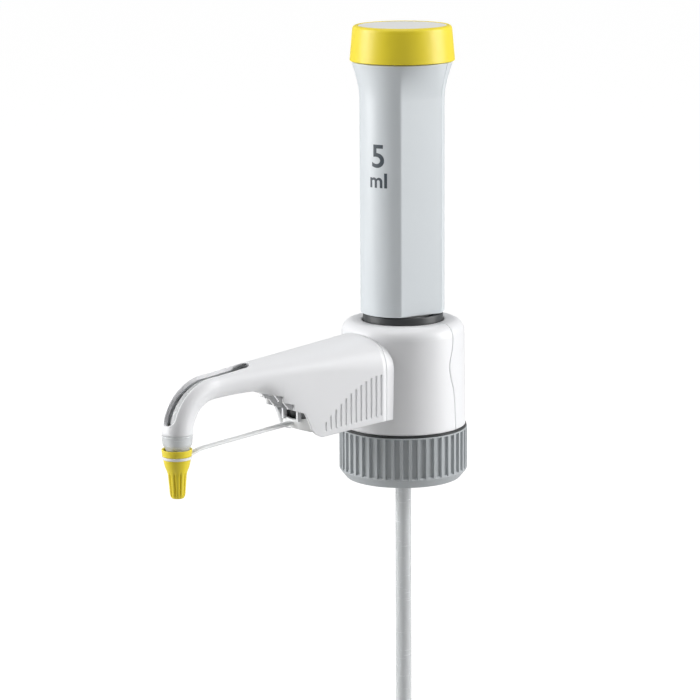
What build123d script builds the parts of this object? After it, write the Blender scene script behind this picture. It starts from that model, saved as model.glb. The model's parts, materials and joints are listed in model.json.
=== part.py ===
from build123d import *
import os
from math import cos, pi, radians, sin, sqrt

# Bottle-top dispenser, fixed volume, in millimetres. The origin is on the vertical axis at the mouth of the
# bottle thread, +Z is up and the discharge arm points along -X.

# ---------------------------------------------------------------------------- driving dimensions
# clearances
RUNNING = 0.05            # radial play of a sliding fit
SEATED = 0.02             # radial play of a part pushed home in its seat
FREE = 0.35               # radial play between turning parts that only pass each other
FACE_GAP = 0.05           # play between flat faces that turn on each other
SEAM = 0.25               # visible joint line between two mouldings

# dosing stroke
CAPACITY_ML = 5.0
BORE_D = 10.4
STROKE = CAPACITY_ML * 1000 / (pi * BORE_D**2 / 4)

# mount nut, for a GL 45 bottle thread
THREAD_R = 22.6
NUT_WALL = 4.7
NUT_H = 21.9
NUT_FOOT_T = 1.8          # thickness of the nut's lower edge, under its chamfer
NUT_FOOT_H = 3.6
NUT_RIBS = 46
NUT_GROOVE_W = 1.6
NUT_GROOVE_DEPTH = 1.1
NUT_RIM = 0.5             # plain rim above the grooves
SHELF_T = 4.5             # inward shelf at the top of the nut
BEARING_T = 0.95
BEARING_INSET = 0.4

# valve block
NECK_INSET = 2.9          # neck and flange inside the thread
FLANGE_INSET = 0.4
FLANGE_T = 3.0
SEAL_T = 1.5
SEAL_BORE_R = 11.0
SLIP_T = 0.8
BODY_STEP = 0.7           # body's foot inside the nut's rim
BODY_DRAFT = 0.5
BODY_H = 45.25
BODY_WALL = 2.4
BODY_SHOULDER = 5.0
BODY_MOUTH_R = 18.3
PLATE_T = 4.0             # base plate that carries the body covers
PLATE_PLAY = 0.1
COLUMN_R = 13.0
HEAD_R = 16.0             # threaded head of the valve block under the safety ring
HEAD_H = 7.0
DUCT_R = 1.6
DUCT_DROP = 11.2          # discharge duct below the arm's top line at the socket

# seam between the body covers, as the rear edge of the front cover
SEAM_TOP_X = 5.2
SEAM_WAIST_X = 2.7
SEAM_FOOT_X = 7.0
SEAM_WAIST_RISE = 27.1    # height of the waist above the body's foot
SEAM_LAP = 1.5            # tongue of one cover behind the other

# safety ring and guide sleeve
RING_R = 17.9
RING_SHOW = 3.0           # how far the ring stands above the body
RING_SKIRT = 2.9
SLEEVE_R = 12.0
SLEEVE_WALL = 1.6
SLEEVE_FLANGE_R = 15.4
SLEEVE_FLANGE_T = 2.0
SLEEVE_LAP = 17.0         # sleeve that is left inside the handle at full stroke

# dispensing cylinder and piston
CYL_WALL = 1.8
CYL_SEAT = 4.5            # depth of the socket that holds the cylinder
CYL_SPARE = 8.0           # cylinder above the piston at full stroke
CYL_LIP = 2.0
PISTON_H = 7.0
PISTON_GAP = 0.6          # dead height under the piston
ROD_R = 3.6
RING_SECTION = 1.6        # thickness of the cylinder's o-ring

# handle
HANDLE_R = 17.67          # rear round of the handle
HANDLE_FRONT = 18.5       # crown of the front face
HANDLE_SIDE = 14.75       # middle of the side faces
HANDLE_WALL = 1.8
CREASE_ANGLE = 133.5      # where the front face meets the side faces, from the rear
HANDLE_SEAM_X = 7.5
HANDLE_REST_GAP = 0.4     # handle above the safety ring when it is down
FLARE_START_H = 90.5      # from the handle's lower edge
HANDLE_H = 105.9
FLARE_R = 21.3
FLARE_POWER = 1.6
BUSH_H = 8.0
CARRIER_T = 6.0
CARRIER_DROP = 12.0       # carrier plate below the top of the shells

# top cap
CAP_R = 22.0
CAP_TOP_R = 20.7
CAP_H = 14.7
CAP_ROUND = 2.0
CAP_WALL = 1.6
CAP_RECESS_R = 18.7
CAP_RECESS = 0.9
CAP_GAP = 0.3
ADJUSTER_R = 6.0

# filling valve and telescopic filling tube
VALVE_R = 6.6
VALVE_THREAD_R = 7.0
VALVE_FOOT_Z = 8.8
OLIVE_R = 2.4
OLIVE_H = 7.0
UPPER_TUBE_WALL = 0.85
LOWER_TUBE_R = 2.45
LOWER_TUBE_WALL = 0.75
TUBE_REACH = 125.0        # lower end of the tube below the thread mouth when it is pushed in
UPPER_TUBE_SHORT = 3.0    # upper tube ends this far above the lower tube's mouth
BALL_R = 2.2
BALL_LIFT = 1.2

# arm
ARM_BACK_INSET = 2.7      # plane where the arm cover meets the body's socket, inside the body's foot
ARM_W = 17.0              # half width there
ARM_TOP_DROP = 3.05       # top line there below the body's top
ARM_SLOPE = 0.0707        # fall of the top line per millimetre
ARM_RISE = 14.1           # height of the arch above its springing line
ARM_TUBE_R = 5.6
ARM_TAPER = 1.25
ARM_WALL = 1.6
ARM_HANG = 45.0           # depth of the hollow section below its springing line
ARM_HANG_START = 54.0     # where the hanging sides begin to shorten, and where they are gone
ARM_HANG_END = 83.0
ARM_SQUARE = 0.96
ROUND = 0.5523            # share of the radius that makes a cubic quarter curve round
ARM_FOOT_DROP = 35.0      # lower edge of the arm at the socket, below the top line there
ARM_TIP_X = 54.5
ARM_TIP_DROP = 38.2
NOZZLE_X = 121.0
BEND_R = 18.0
SLOT_W = 2.8
SLOT_X = 84.6             # where the slot on top begins
SLOT_END_ANGLE = 78.0     # how far the slot runs round the bend
GROOVES = 12
GROOVE_PITCH = 2.4
GROOVE_W = 0.95
GROOVE_DEPTH = 0.6
GROOVE_FIRST = 2.7        # first groove in front of the socket seam

# discharge valve and tube
TUBE_R = 3.0
TUBE_BORE_R = 1.5
D_VALVE_R = 4.4
D_VALVE_LEN = 20.0
D_SOCKET = 7.0             # valve pushed into the valve block
D_BOSS_WALL = 1.4
D_CHAMBER = 12.0
D_CHAMBER_R = 2.7
D_BALL_R = 1.7
NOZZLE_DROP = 11.0        # tube below the end of the bend
COLLAR_R = 4.6
COLLAR_H = 6.6
COLLAR_SINK = 0.3

# screw cap and strap
SC_RIM_R = 6.4
SC_RIM_H = 3.5
SC_TOP_Z = 33.0
SC_GROOVE_R = 5.45
SC_GROOVE_H = 1.3
SC_CONE_R = 5.6
SC_CONE_H = 5.7
SC_GRIP_R = 3.95
SC_END_R = 3.2
SC_GRIP_H = 11.5
SC_FLUTES = 10
EYE_WALL = 0.6
STRAP_T = 1.5
STRAP_W = 3.2
STRAP_ROOT_X = 65.0
STRAP_ROOT_DROP = 32.7    # below the arm's top line at the socket
STRAP_PLATE_T = 1.6

# vent cap at the rear
VENT_R = 4.6
VENT_RISE = 11.1          # above the body's foot
VENT_STAND = 2.6

# ---------------------------------------------------------------------------- levels worked out from these
SHELF_Z = NUT_H - SHELF_T
SLIP_Z = SHELF_Z - SLIP_T
FLANGE_TOP = SLIP_Z - 2 * FACE_GAP
FLANGE_Z = FLANGE_TOP - FLANGE_T
SEAL_Z = FLANGE_Z - SEAL_T
BODY_Z = NUT_H + BEARING_T + FACE_GAP
BODY_TOP = BODY_Z + BODY_H
NUT_R = THREAD_R + NUT_WALL
NUT_FOOT_R = THREAD_R + NUT_FOOT_T
NECK_R = THREAD_R - NECK_INSET
FLANGE_R = THREAD_R - FLANGE_INSET
BODY_R = NUT_R - BODY_STEP
BODY_TOP_R = BODY_R - BODY_DRAFT
VENT_Z = BODY_Z + VENT_RISE
SEAM_WAIST_Z = BODY_Z + SEAM_WAIST_RISE
COVER_R = BODY_R - BODY_WALL
HEAD_TOP = BODY_TOP - 5.2
RING_TOP = BODY_TOP + RING_SHOW
CYL_Z = HEAD_TOP - CYL_SEAT
CYL_R = BORE_D / 2 + CYL_WALL
PISTON_Z = CYL_Z + PISTON_GAP
CYL_TOP = PISTON_Z + PISTON_H + STROKE + CYL_SPARE
HANDLE_Z = RING_TOP + HANDLE_REST_GAP
SLEEVE_TOP = HANDLE_Z + STROKE + SLEEVE_LAP
SLEEVE_Z = HEAD_TOP
FLARE_Z = HANDLE_Z + FLARE_START_H
HANDLE_TOP = HANDLE_Z + HANDLE_H
CAP_Z = HANDLE_TOP + CAP_GAP
CAP_TOP = CAP_Z + CAP_H
CARRIER_Z = HANDLE_TOP - CARRIER_DROP
ARM_BACK_X = BODY_R - ARM_BACK_INSET
ARM_TOP_Z = BODY_TOP - ARM_TOP_DROP
ARM_FOOT_Z = ARM_TOP_Z - ARM_FOOT_DROP
ARM_TIP_Z = ARM_TOP_Z - ARM_TIP_DROP
DUCT_Z = ARM_TOP_Z - DUCT_DROP
STRAP_ROOT_Z = ARM_TOP_Z - STRAP_ROOT_DROP
ARM_SPAN = NOZZLE_X - BEND_R - ARM_BACK_X
BEND_X = NOZZLE_X - BEND_R
ARM_STATIONS = (ARM_BACK_X, 38.0, 50.0, 59.0, 66.0, 73.0, 79.0, 84.0, 90.0, 96.0, BEND_X)
ARM_END_Z = ARM_TOP_Z - ARM_SLOPE * ARM_SPAN - ARM_TUBE_R
BEND_Z = ARM_END_Z - BEND_R
UPPER_TUBE_R = LOWER_TUBE_R + RUNNING + UPPER_TUBE_WALL
UPPER_TUBE_BORE = LOWER_TUBE_R + RUNNING
D_VALVE_X = COLUMN_R - 3.0


# ---------------------------------------------------------------------------- helpers
def turned(*corners, x=0.0):
    """Solid turned about a vertical axis from (radius, height) corners."""
    profile = Plane.XZ * make_face(Polyline(*corners, close=True))
    return Pos(x, 0, 0) * revolve(profile, Axis.Z)


def tube(r_out, r_in, z0, z1, x=0.0):
    """Upright tube, or a rod where the inner radius is 0."""
    return turned((r_in, z0), (r_out, z0), (r_out, z1), (r_in, z1), x=x)


def lying(r_out, r_in, x0, x1, z):
    """Tube along X at the height z, or a rod where the inner radius is 0."""
    start = Plane(origin=(x0, 0, z), x_dir=(0, 1, 0), z_dir=(1, 0, 0))
    outer = extrude(start * Circle(r_out), amount=x1 - x0)
    if r_in > 0:
        outer -= extrude(start * Circle(r_in), amount=x1 - x0)
    return outer


def block(x0, x1, y0, y1, z0, z1):
    """Box between two corners."""
    return Pos((x0 + x1) / 2, (y0 + y1) / 2, (z0 + z1) / 2) * Box(x1 - x0, y1 - y0, z1 - z0)


def side_plate(*corners, y0, y1):
    """Plate with the given (x, z) outline from y0 to y1."""
    face = Plane.XZ * make_face(Polyline(*corners, close=True))
    return Pos(0, y0, 0) * extrude(face, amount=-(y1 - y0))


def mirrored(shape):
    """The shape and its mirror image across the arm's middle plane."""
    return shape + shape.mirror(Plane.XZ)


PARTS = {}


def keep(name, shape):
    """Note a finished sub-part under its name."""
    PARTS[name] = shape
    return shape


# ---------------------------------------------------------------------------- mount nut group
def make_mount():
    body = turned(
        (THREAD_R, 0), (NUT_FOOT_R, 0), (NUT_R, NUT_FOOT_H), (NUT_R, NUT_H),
        (NECK_R + FREE, NUT_H), (NECK_R + FREE, SHELF_Z), (THREAD_R, SHELF_Z),
    )
    groove_z = NUT_FOOT_H + NUT_RIM
    groove = Rectangle(2 * NUT_GROOVE_DEPTH, NUT_GROOVE_W)
    ring = Sketch() + [spot * groove for spot in PolarLocations(NUT_R, NUT_RIBS)]
    grooves = Pos(0, 0, groove_z) * ring
    keep("mount_nut", body - extrude(grooves, amount=NUT_H - NUT_RIM - groove_z))
    keep("bearing_ring", tube(NUT_R - BEARING_INSET, NECK_R + FREE, NUT_H, NUT_H + BEARING_T))
    keep("slip_washer", tube(THREAD_R - 0.3, NECK_R + 2 * FREE, SLIP_Z, SHELF_Z))


# ---------------------------------------------------------------------------- valve block
def make_valve_block():
    core = turned(
        (0, FLANGE_Z), (FLANGE_R, FLANGE_Z), (FLANGE_R, FLANGE_TOP), (NECK_R, FLANGE_TOP), (NECK_R, BODY_Z),
        (COVER_R - PLATE_PLAY, BODY_Z), (COVER_R - PLATE_PLAY, BODY_Z + PLATE_T), (COLUMN_R, BODY_Z + PLATE_T + 3.0),
        (COLUMN_R, HEAD_TOP - HEAD_H), (HEAD_R, HEAD_TOP - HEAD_H + 2.0), (HEAD_R, HEAD_TOP), (0, HEAD_TOP),
    )
    core += lying(D_VALVE_R + D_BOSS_WALL, 0, -D_VALVE_X - D_SOCKET, 0, DUCT_Z)
    core += lying(VENT_R, 0, 0, BODY_R - 1.0, VENT_Z)
    core -= tube(VALVE_THREAD_R + SEATED, 0, FLANGE_Z, VALVE_TOP)
    core -= tube(DUCT_R, 0, VALVE_TOP, CYL_Z)
    core -= tube(CYL_R + SEATED, 0, CYL_Z, HEAD_TOP)
    core -= lying(DUCT_R, 0, -D_VALVE_X, 0, DUCT_Z)
    core -= lying(D_VALVE_R + SEATED, 0, -D_VALVE_X - D_SOCKET, -D_VALVE_X, DUCT_Z)
    # air way from the vent to the bottle
    core -= lying(DUCT_R, 0, NECK_R - 4.0, BODY_R - 1.0, VENT_Z)
    core -= tube(DUCT_R, 0, FLANGE_Z, VENT_Z, x=NECK_R - 4.0)
    ring_mid = CYL_Z + CYL_SEAT / 2
    ring_groove = tube(CYL_R + RING_SECTION, CYL_R, ring_mid - RING_SECTION / 2, ring_mid + RING_SECTION / 2)
    keep("valve_block_core", core - ring_groove)
    seal_ring = turned(
        (CYL_R + SEATED, ring_mid - 0.7), (CYL_R + RING_SECTION - SEATED, ring_mid - 0.7),
        (CYL_R + RING_SECTION - SEATED, ring_mid + 0.7), (CYL_R + SEATED, ring_mid + 0.7),
    )
    keep("cylinder_seal", fillet(seal_ring.edges(), 0.3))
    keep("bottle_seal", tube(FLANGE_R, SEAL_BORE_R, SEAL_Z, FLANGE_Z)
         - tube(DUCT_R + 0.4, 0, SEAL_Z, FLANGE_Z, x=NECK_R - 4.0))

    vent = turned((0, 0), (VENT_R + 1.4, 0), (VENT_R + 1.4, VENT_STAND - 0.8), (VENT_R + 0.6, VENT_STAND), (0, VENT_STAND))
    keep("vent_cap", Pos(BODY_R + SEAM, 0, VENT_Z) * Rot(0, 90, 0) * vent)


def body_profile(inset, top_drop):
    """Half section of the body's outer form, moved in by the inset on its side and down at its top."""
    foot, top = BODY_R - inset, BODY_TOP_R - inset
    z_top = BODY_TOP - top_drop
    face = make_face(Polyline((0, BODY_Z), (foot, BODY_Z), (top, z_top), (0, z_top), close=True))
    corner = face.vertices().sort_by_distance((top, z_top))[0]
    return fillet(corner, BODY_SHOULDER - inset)


def body_form(inset=0.0, top_drop=0.0):
    """Solid of the body's outer form."""
    return revolve(Plane.XZ * body_profile(inset, top_drop), Axis.Z)


def seam_side(shift):
    """Prism of everything in front of the wavy seam, with the seam moved to the rear by the shift."""
    z0, z1 = BODY_Z - 1.0, BODY_TOP + 1.0
    waist, top, foot = SEAM_WAIST_X + shift, SEAM_TOP_X + shift, SEAM_FOOT_X + shift
    wave = Spline(
        (foot - 0.8, SEAM_WAIST_Z - 14.0), (foot - 1.6, SEAM_WAIST_Z - 9.0), (waist, SEAM_WAIST_Z),
        (top - 0.1, SEAM_WAIST_Z + 8.5), (top, SEAM_WAIST_Z + 12.0),
    )
    edge = Line((foot, z0), wave @ 0) + wave + Line(wave @ 1, (top - 0.2, z1))
    back = Polyline((top - 0.2, z1), (-60.0, z1), (-60.0, z0), (foot, z0))
    face = Plane.XZ * make_face(edge + back)
    return Pos(0, -40, 0) * extrude(face, amount=-80)


def socket_form():
    """Hollow arched boss on the body that the arm cover meets, closed below by a floor."""
    outer = extrude(arm_section(ARM_BACK_X, 0), amount=ARM_BACK_X - COLUMN_R)
    inner = extrude(arm_section(ARM_BACK_X, ARM_WALL), amount=ARM_BACK_X - COLUMN_R)
    below = block(-ARM_BACK_X - 1, 0, -BODY_R, BODY_R, 0, ARM_FOOT_Z)
    floor = block(-ARM_BACK_X - 1, 0, -BODY_R, BODY_R, 0, ARM_FOOT_Z + ARM_WALL)
    return (outer - below) - (inner - floor)


def make_covers():
    cavity = body_form(BODY_WALL, BODY_WALL)
    middle = body_form(BODY_WALL / 2, BODY_WALL / 2)
    outer = body_form()
    mouth = tube(BODY_MOUTH_R, 0, BODY_Z, BODY_TOP + 1)
    door = lying(D_VALVE_R + D_BOSS_WALL + FREE, 0, -BODY_R - 1, 0, DUCT_Z)
    socket = socket_form()
    port = lying(VENT_R + SEATED, 0, 0, BODY_R + 1, VENT_Z)
    skin, lining = outer - middle - mouth, middle - cavity - mouth
    front_skin, front_lap = seam_side(-SEAM), seam_side(SEAM_LAP)
    rear_skin, rear_lap = seam_side(0), seam_side(SEAM_LAP + SEAM / 2)
    front = (skin & front_skin) + (lining & front_lap) + (socket - middle)
    keep("body_front_cover", front - door)
    keep("body_rear_cover", (skin - rear_skin) + (lining - rear_lap) - port)


# ---------------------------------------------------------------------------- dosing unit
def make_dosing_unit():
    keep("dispensing_cylinder", tube(CYL_R, BORE_D / 2, CYL_Z, CYL_TOP))
    lip_r = CYL_R + SEATED
    keep("guide_sleeve", turned(
        (SLEEVE_R - SLEEVE_WALL, SLEEVE_Z), (SLEEVE_FLANGE_R, SLEEVE_Z),
        (SLEEVE_FLANGE_R, SLEEVE_Z + SLEEVE_FLANGE_T), (SLEEVE_R, SLEEVE_Z + SLEEVE_FLANGE_T),
        (SLEEVE_R, SLEEVE_TOP), (SLEEVE_R - SLEEVE_WALL, SLEEVE_TOP),
        (SLEEVE_R - SLEEVE_WALL, CYL_TOP - CYL_LIP), (lip_r, CYL_TOP - CYL_LIP),
        (lip_r, CYL_TOP - 3 * CYL_LIP), (SLEEVE_R - SLEEVE_WALL, CYL_TOP - 4 * CYL_LIP),
    ))
    ring_low = HEAD_TOP - RING_SKIRT
    keep("safety_ring", turned(
        (HEAD_R + SEATED, ring_low), (RING_R, ring_low), (RING_R, RING_TOP - 0.6), (RING_R - 0.6, RING_TOP),
        (SLEEVE_R + SEATED, RING_TOP), (SLEEVE_R + SEATED, SLEEVE_Z + SLEEVE_FLANGE_T),
        (SLEEVE_FLANGE_R + SEATED, SLEEVE_Z + SLEEVE_FLANGE_T), (SLEEVE_FLANGE_R + SEATED, HEAD_TOP),
        (HEAD_R + SEATED, HEAD_TOP),
    ))
    seal_r = BORE_D / 2 - RUNNING
    screw_r = ROD_R - 1.2
    keep("piston_seal", turned(
        (screw_r, PISTON_Z), (seal_r, PISTON_Z), (seal_r, PISTON_Z + 2), (seal_r - 0.5, PISTON_Z + 2.6),
        (seal_r - 0.5, PISTON_Z + PISTON_H - 2.6), (seal_r, PISTON_Z + PISTON_H - 2),
        (seal_r, PISTON_Z + PISTON_H), (screw_r, PISTON_Z + PISTON_H),
    ))
    keep("piston_screw", turned(
        (0, PISTON_Z - PISTON_GAP / 2), (screw_r + 0.9, PISTON_Z - PISTON_GAP / 2), (screw_r + 0.9, PISTON_Z),
        (screw_r - SEATED, PISTON_Z), (screw_r - SEATED, PISTON_Z + PISTON_H + 6), (0, PISTON_Z + PISTON_H + 6),
    ))
    rod = tube(ROD_R, 0, PISTON_Z + PISTON_H, CARRIER_Z + CARRIER_T)
    keep("piston_rod", rod - tube(screw_r, 0, PISTON_Z, PISTON_Z + PISTON_H + 6.2))


# ---------------------------------------------------------------------------- handle
def handle_outline(z, inset=0.0):
    """Cross-section at the height z: round at the rear, flat sides, crowned front, going round up the flare."""
    share = max(0.0, (z - FLARE_Z) / (HANDLE_TOP - FLARE_Z)) ** FLARE_POWER
    grow = share * (FLARE_R - HANDLE_R)
    r = HANDLE_R + grow - inset
    front = HANDLE_FRONT + share * (FLARE_R - HANDLE_FRONT) - inset
    side = HANDLE_SIDE + share * (FLARE_R - HANDLE_SIDE) - inset
    crease = (r * cos(radians(CREASE_ANGLE)), r * sin(radians(CREASE_ANGLE)))
    seam = (HANDLE_SEAM_X, sqrt(r**2 - HANDLE_SEAM_X**2))
    middle = ((crease[0] + seam[0]) / 2, (crease[1] + seam[1]) / 2)
    length = sqrt(middle[0] ** 2 + middle[1] ** 2)
    bulge = (middle[0] * side / length, middle[1] * side / length)
    edges = [
        ThreePointArc((crease[0], -crease[1]), (-front, 0), crease),
        ThreePointArc(crease, bulge, seam),
        ThreePointArc(seam, (r, 0), (seam[0], -seam[1])),
        ThreePointArc((seam[0], -seam[1]), (bulge[0], -bulge[1]), (crease[0], -crease[1])),
    ]
    return Pos(0, 0, z) * make_face(Curve() + edges)


def handle_form(inset=0.0):
    """Solid of the handle's outer form, moved in by the inset."""
    grip = extrude(handle_outline(HANDLE_Z, inset), amount=FLARE_Z - HANDLE_Z)
    steps = 5
    heights = [FLARE_Z + (HANDLE_TOP - FLARE_Z) * i / (steps - 1) for i in range(steps)]
    return grip + loft([handle_outline(z, inset) for z in heights])


def behind(x):
    """Everything behind the plane at x."""
    return block(x, 60, -60, 60, HANDLE_Z - 1, HANDLE_TOP + 1)


def make_handle():
    outer, middle, cavity = handle_form(), handle_form(HANDLE_WALL / 2), handle_form(HANDLE_WALL)
    skin, lining = outer - middle, middle - cavity
    front = (skin - behind(HANDLE_SEAM_X)) + (lining - behind(HANDLE_SEAM_X + SEAM_LAP))
    rear = (skin & behind(HANDLE_SEAM_X + SEAM)) + (lining & behind(HANDLE_SEAM_X + SEAM_LAP + SEAM / 2))
    keep("handle_front_shell", front)
    keep("handle_rear_shell", rear)

    bush = extrude(handle_outline(HANDLE_Z, HANDLE_WALL + SEATED), amount=BUSH_H)
    bush = Pos(0, 0, 0.4) * bush - tube(SLEEVE_R + RUNNING, 0, HANDLE_Z - 1, HANDLE_Z + BUSH_H + 1)
    keep("guide_bush", bush)
    carrier = extrude(handle_outline(HANDLE_Z, HANDLE_WALL + SEATED), amount=CARRIER_T)
    carrier = Pos(0, 0, CARRIER_Z - HANDLE_Z) * carrier
    rim = tube(HANDLE_R - HANDLE_WALL, HANDLE_R - 2 * HANDLE_WALL, CARRIER_Z + CARRIER_T, HANDLE_TOP)
    keep("rod_carrier", carrier - tube(ROD_R + SEATED, 0, CARRIER_Z - 1, CARRIER_Z + CARRIER_T + 1)
         + (rim & cavity))
    keep("adjusting_nut", turned(
        (0, CARRIER_Z + CARRIER_T), (ADJUSTER_R, CARRIER_Z + CARRIER_T), (ADJUSTER_R, CAP_TOP - CAP_RECESS - CAP_WALL - 1),
        (0, CAP_TOP - CAP_RECESS - CAP_WALL - 1),
    ) - block(-0.8, 0.8, -ADJUSTER_R, ADJUSTER_R, CAP_TOP - CAP_RECESS - CAP_WALL - 3, CAP_TOP))

    crown = make_face(Polyline(
        (CAP_RECESS_R, CAP_TOP), (CAP_TOP_R, CAP_TOP), (CAP_R, CAP_Z), (FLARE_R - CAP_WALL, CAP_Z),
        (CAP_TOP_R - CAP_WALL, CAP_TOP - CAP_RECESS - CAP_WALL), (ADJUSTER_R + 1, CAP_TOP - CAP_RECESS - CAP_WALL),
        (ADJUSTER_R + 1, CAP_TOP - CAP_RECESS), (CAP_RECESS_R, CAP_TOP - CAP_RECESS), close=True,
    ))
    crown = fillet(crown.vertices().sort_by_distance((CAP_TOP_R, CAP_TOP))[0], CAP_ROUND - 0.3)
    keep("top_cap", revolve(Plane.XZ * crown, Axis.Z))
    disc_r = CAP_RECESS_R - SEAM / 2
    disc_z = CAP_TOP - CAP_RECESS
    keep("calibration_cover", tube(disc_r, 0, disc_z, CAP_TOP - 0.2)
         + tube(ADJUSTER_R + 1 - SEATED, ADJUSTER_R - 0.5, disc_z - CAP_WALL, disc_z))


# ---------------------------------------------------------------------------- filling valve and tube
VALVE_TOP = BODY_Z + PLATE_T - 1.0
SEAT_Z = FLANGE_Z + 1.0
BALL_Z = SEAT_Z + 3.4


def make_filling_side():
    bore = 1.5
    chamber = BALL_R + 0.8
    body = turned(
        (bore, VALVE_FOOT_Z - OLIVE_H), (OLIVE_R - 0.4, VALVE_FOOT_Z - OLIVE_H), (OLIVE_R, VALVE_FOOT_Z - OLIVE_H + 2),
        (OLIVE_R, VALVE_FOOT_Z), (VALVE_R, VALVE_FOOT_Z), (VALVE_R, FLANGE_Z - 0.5), (VALVE_THREAD_R, FLANGE_Z),
        (VALVE_THREAD_R, VALVE_TOP), (DUCT_R, VALVE_TOP), (DUCT_R, BALL_Z + BALL_R + BALL_LIFT + 1.0),
        (chamber, BALL_Z + BALL_R + BALL_LIFT + 0.2), (chamber, SEAT_Z), (bore, SEAT_Z),
    )
    hexagon = extrude(Pos(0, 0, VALVE_FOOT_Z) * RegularPolygon(VALVE_R + 0.7, 6), amount=2.5)
    keep("filling_valve_body", body + (hexagon - tube(OLIVE_R, 0, VALVE_FOOT_Z - 1, VALVE_FOOT_Z + 4)))
    seat_top = SEAT_Z + 2.2
    keep("filling_valve_seat", turned(
        (bore, SEAT_Z), (chamber - SEATED, SEAT_Z), (chamber - SEATED, seat_top), (chamber - 0.4, seat_top),
        (bore, SEAT_Z + 1.0),
    ) - Pos(0, 0, BALL_Z) * Sphere(BALL_R + 0.05))
    keep("filling_ball", Pos(0, 0, BALL_Z) * Sphere(BALL_R))

    lower_end = -TUBE_REACH + UPPER_TUBE_SHORT
    keep("filling_tube_upper", tube(UPPER_TUBE_R, UPPER_TUBE_BORE, lower_end, VALVE_FOOT_Z))
    low = tube(LOWER_TUBE_R, LOWER_TUBE_R - LOWER_TUBE_WALL, -TUBE_REACH, LOWER_TUBE_TOP)
    mouth = Pos(0, 0, -TUBE_REACH) * Rot(0, 35, 0) * Box(20, 20, 4)
    keep("filling_tube_lower", low - Pos(0, 0, -2.0) * mouth)


LOWER_TUBE_TOP = VALVE_FOOT_Z - OLIVE_H - 0.8


# ---------------------------------------------------------------------------- discharge side
def across_at(x, z):
    """Plane across the arm at the distance x, with its origin at the height z."""
    return Plane(origin=(-x, 0, z), x_dir=(0, 1, 0), z_dir=(1, 0, 0))


def arm_size(x):
    """Half width, half height and middle height of the arm's vault at the distance x from the axis."""
    left = max(0.0, 1 - (x - ARM_BACK_X) / ARM_SPAN)
    width = ARM_TUBE_R + (ARM_W - ARM_TUBE_R) * left**ARM_TAPER
    rise = ARM_TUBE_R + (ARM_RISE - ARM_TUBE_R) * left**2
    return width, rise, ARM_TOP_Z - ARM_SLOPE * (x - ARM_BACK_X) - rise


def arm_section(x, inset):
    """Outline across the arm in four quarters: half an ellipse above, a deep squared curve that hangs down below."""
    width, rise, middle = arm_size(x)
    share = min(1.0, max(0.0, (ARM_HANG_END - x) / (ARM_HANG_END - ARM_HANG_START)))
    share = share**2 * (3 - 2 * share)
    depth = rise + (ARM_HANG - rise) * share - inset
    square = ROUND + (ARM_SQUARE - ROUND) * share
    width, rise = width - inset, rise - inset
    right, top, left, foot = (width, 0), (0, rise), (-width, 0), (0, -depth)
    quarters = [
        Bezier(right, (width, ROUND * rise), (ROUND * width, rise), top),
        Bezier(top, (-ROUND * width, rise), (-width, ROUND * rise), left),
        Bezier(left, (-width, -square * depth), (-square * width, -depth), foot),
        Bezier(foot, (square * width, -depth), (width, -square * depth), right),
    ]
    return across_at(x, middle) * make_face(Curve() + quarters)


def arm_form(inset):
    """Solid of the arm from its socket round the bend to the nozzle, moved in by the inset."""
    straight = loft([arm_section(x, inset) for x in ARM_STATIONS])
    path = Plane.XZ * (Pos(-BEND_X, BEND_Z) * CenterArc((0, 0), BEND_R, 90, 90))
    return straight + sweep(arm_section(BEND_X, inset), path=path)


def underside():
    """Everything below the arm cover's lower edge, with the two steps of its front."""
    front, below = SLOT_X - 1.6, ARM_TOP_Z - 2 * ARM_HANG
    edge = Spline((-61.6, 41.0), (-59.2, 36.4), (-56.8, 30.2), (-ARM_TIP_X - 0.9, 27.4), (-ARM_TIP_X, ARM_TIP_Z))
    outline = (
        Polyline((-front - 18, below), (-front - 18, 43.0), (-front, 48.4), (-76.4, 49.0), (-72.6, 47.9), (-72.6, 45.6),
                 (-66.8, 44.9), (-66.8, 42.4), (-61.6, 41.0))
        + edge
        + Polyline((-ARM_TIP_X, ARM_TIP_Z), (-ARM_BACK_X + 8, ARM_FOOT_Z + 0.8), (-ARM_BACK_X + 8, below), (-front - 18, below))
    )
    face = Plane.XZ * make_face(outline)
    return Pos(0, -30, 0) * extrude(face, amount=-60)


def grooves():
    """Upright grooves on both sides of the arm, cut to one depth all along its taper."""
    cuts = []
    for i in range(GROOVES):
        x = ARM_BACK_X + GROOVE_FIRST + GROOVE_PITCH * i
        share = i / (GROOVES - 1)
        low = ARM_FOOT_Z + 2.9 - 0.125 * (x - ARM_BACK_X)
        high = 49.9 - 17.0 * share**1.6
        width = arm_size(x)[0]
        cuts.append(block(-x - GROOVE_W / 2, -x + GROOVE_W / 2, width - GROOVE_DEPTH, width + 2, low, high))
    return mirrored(Part() + cuts)


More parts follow.
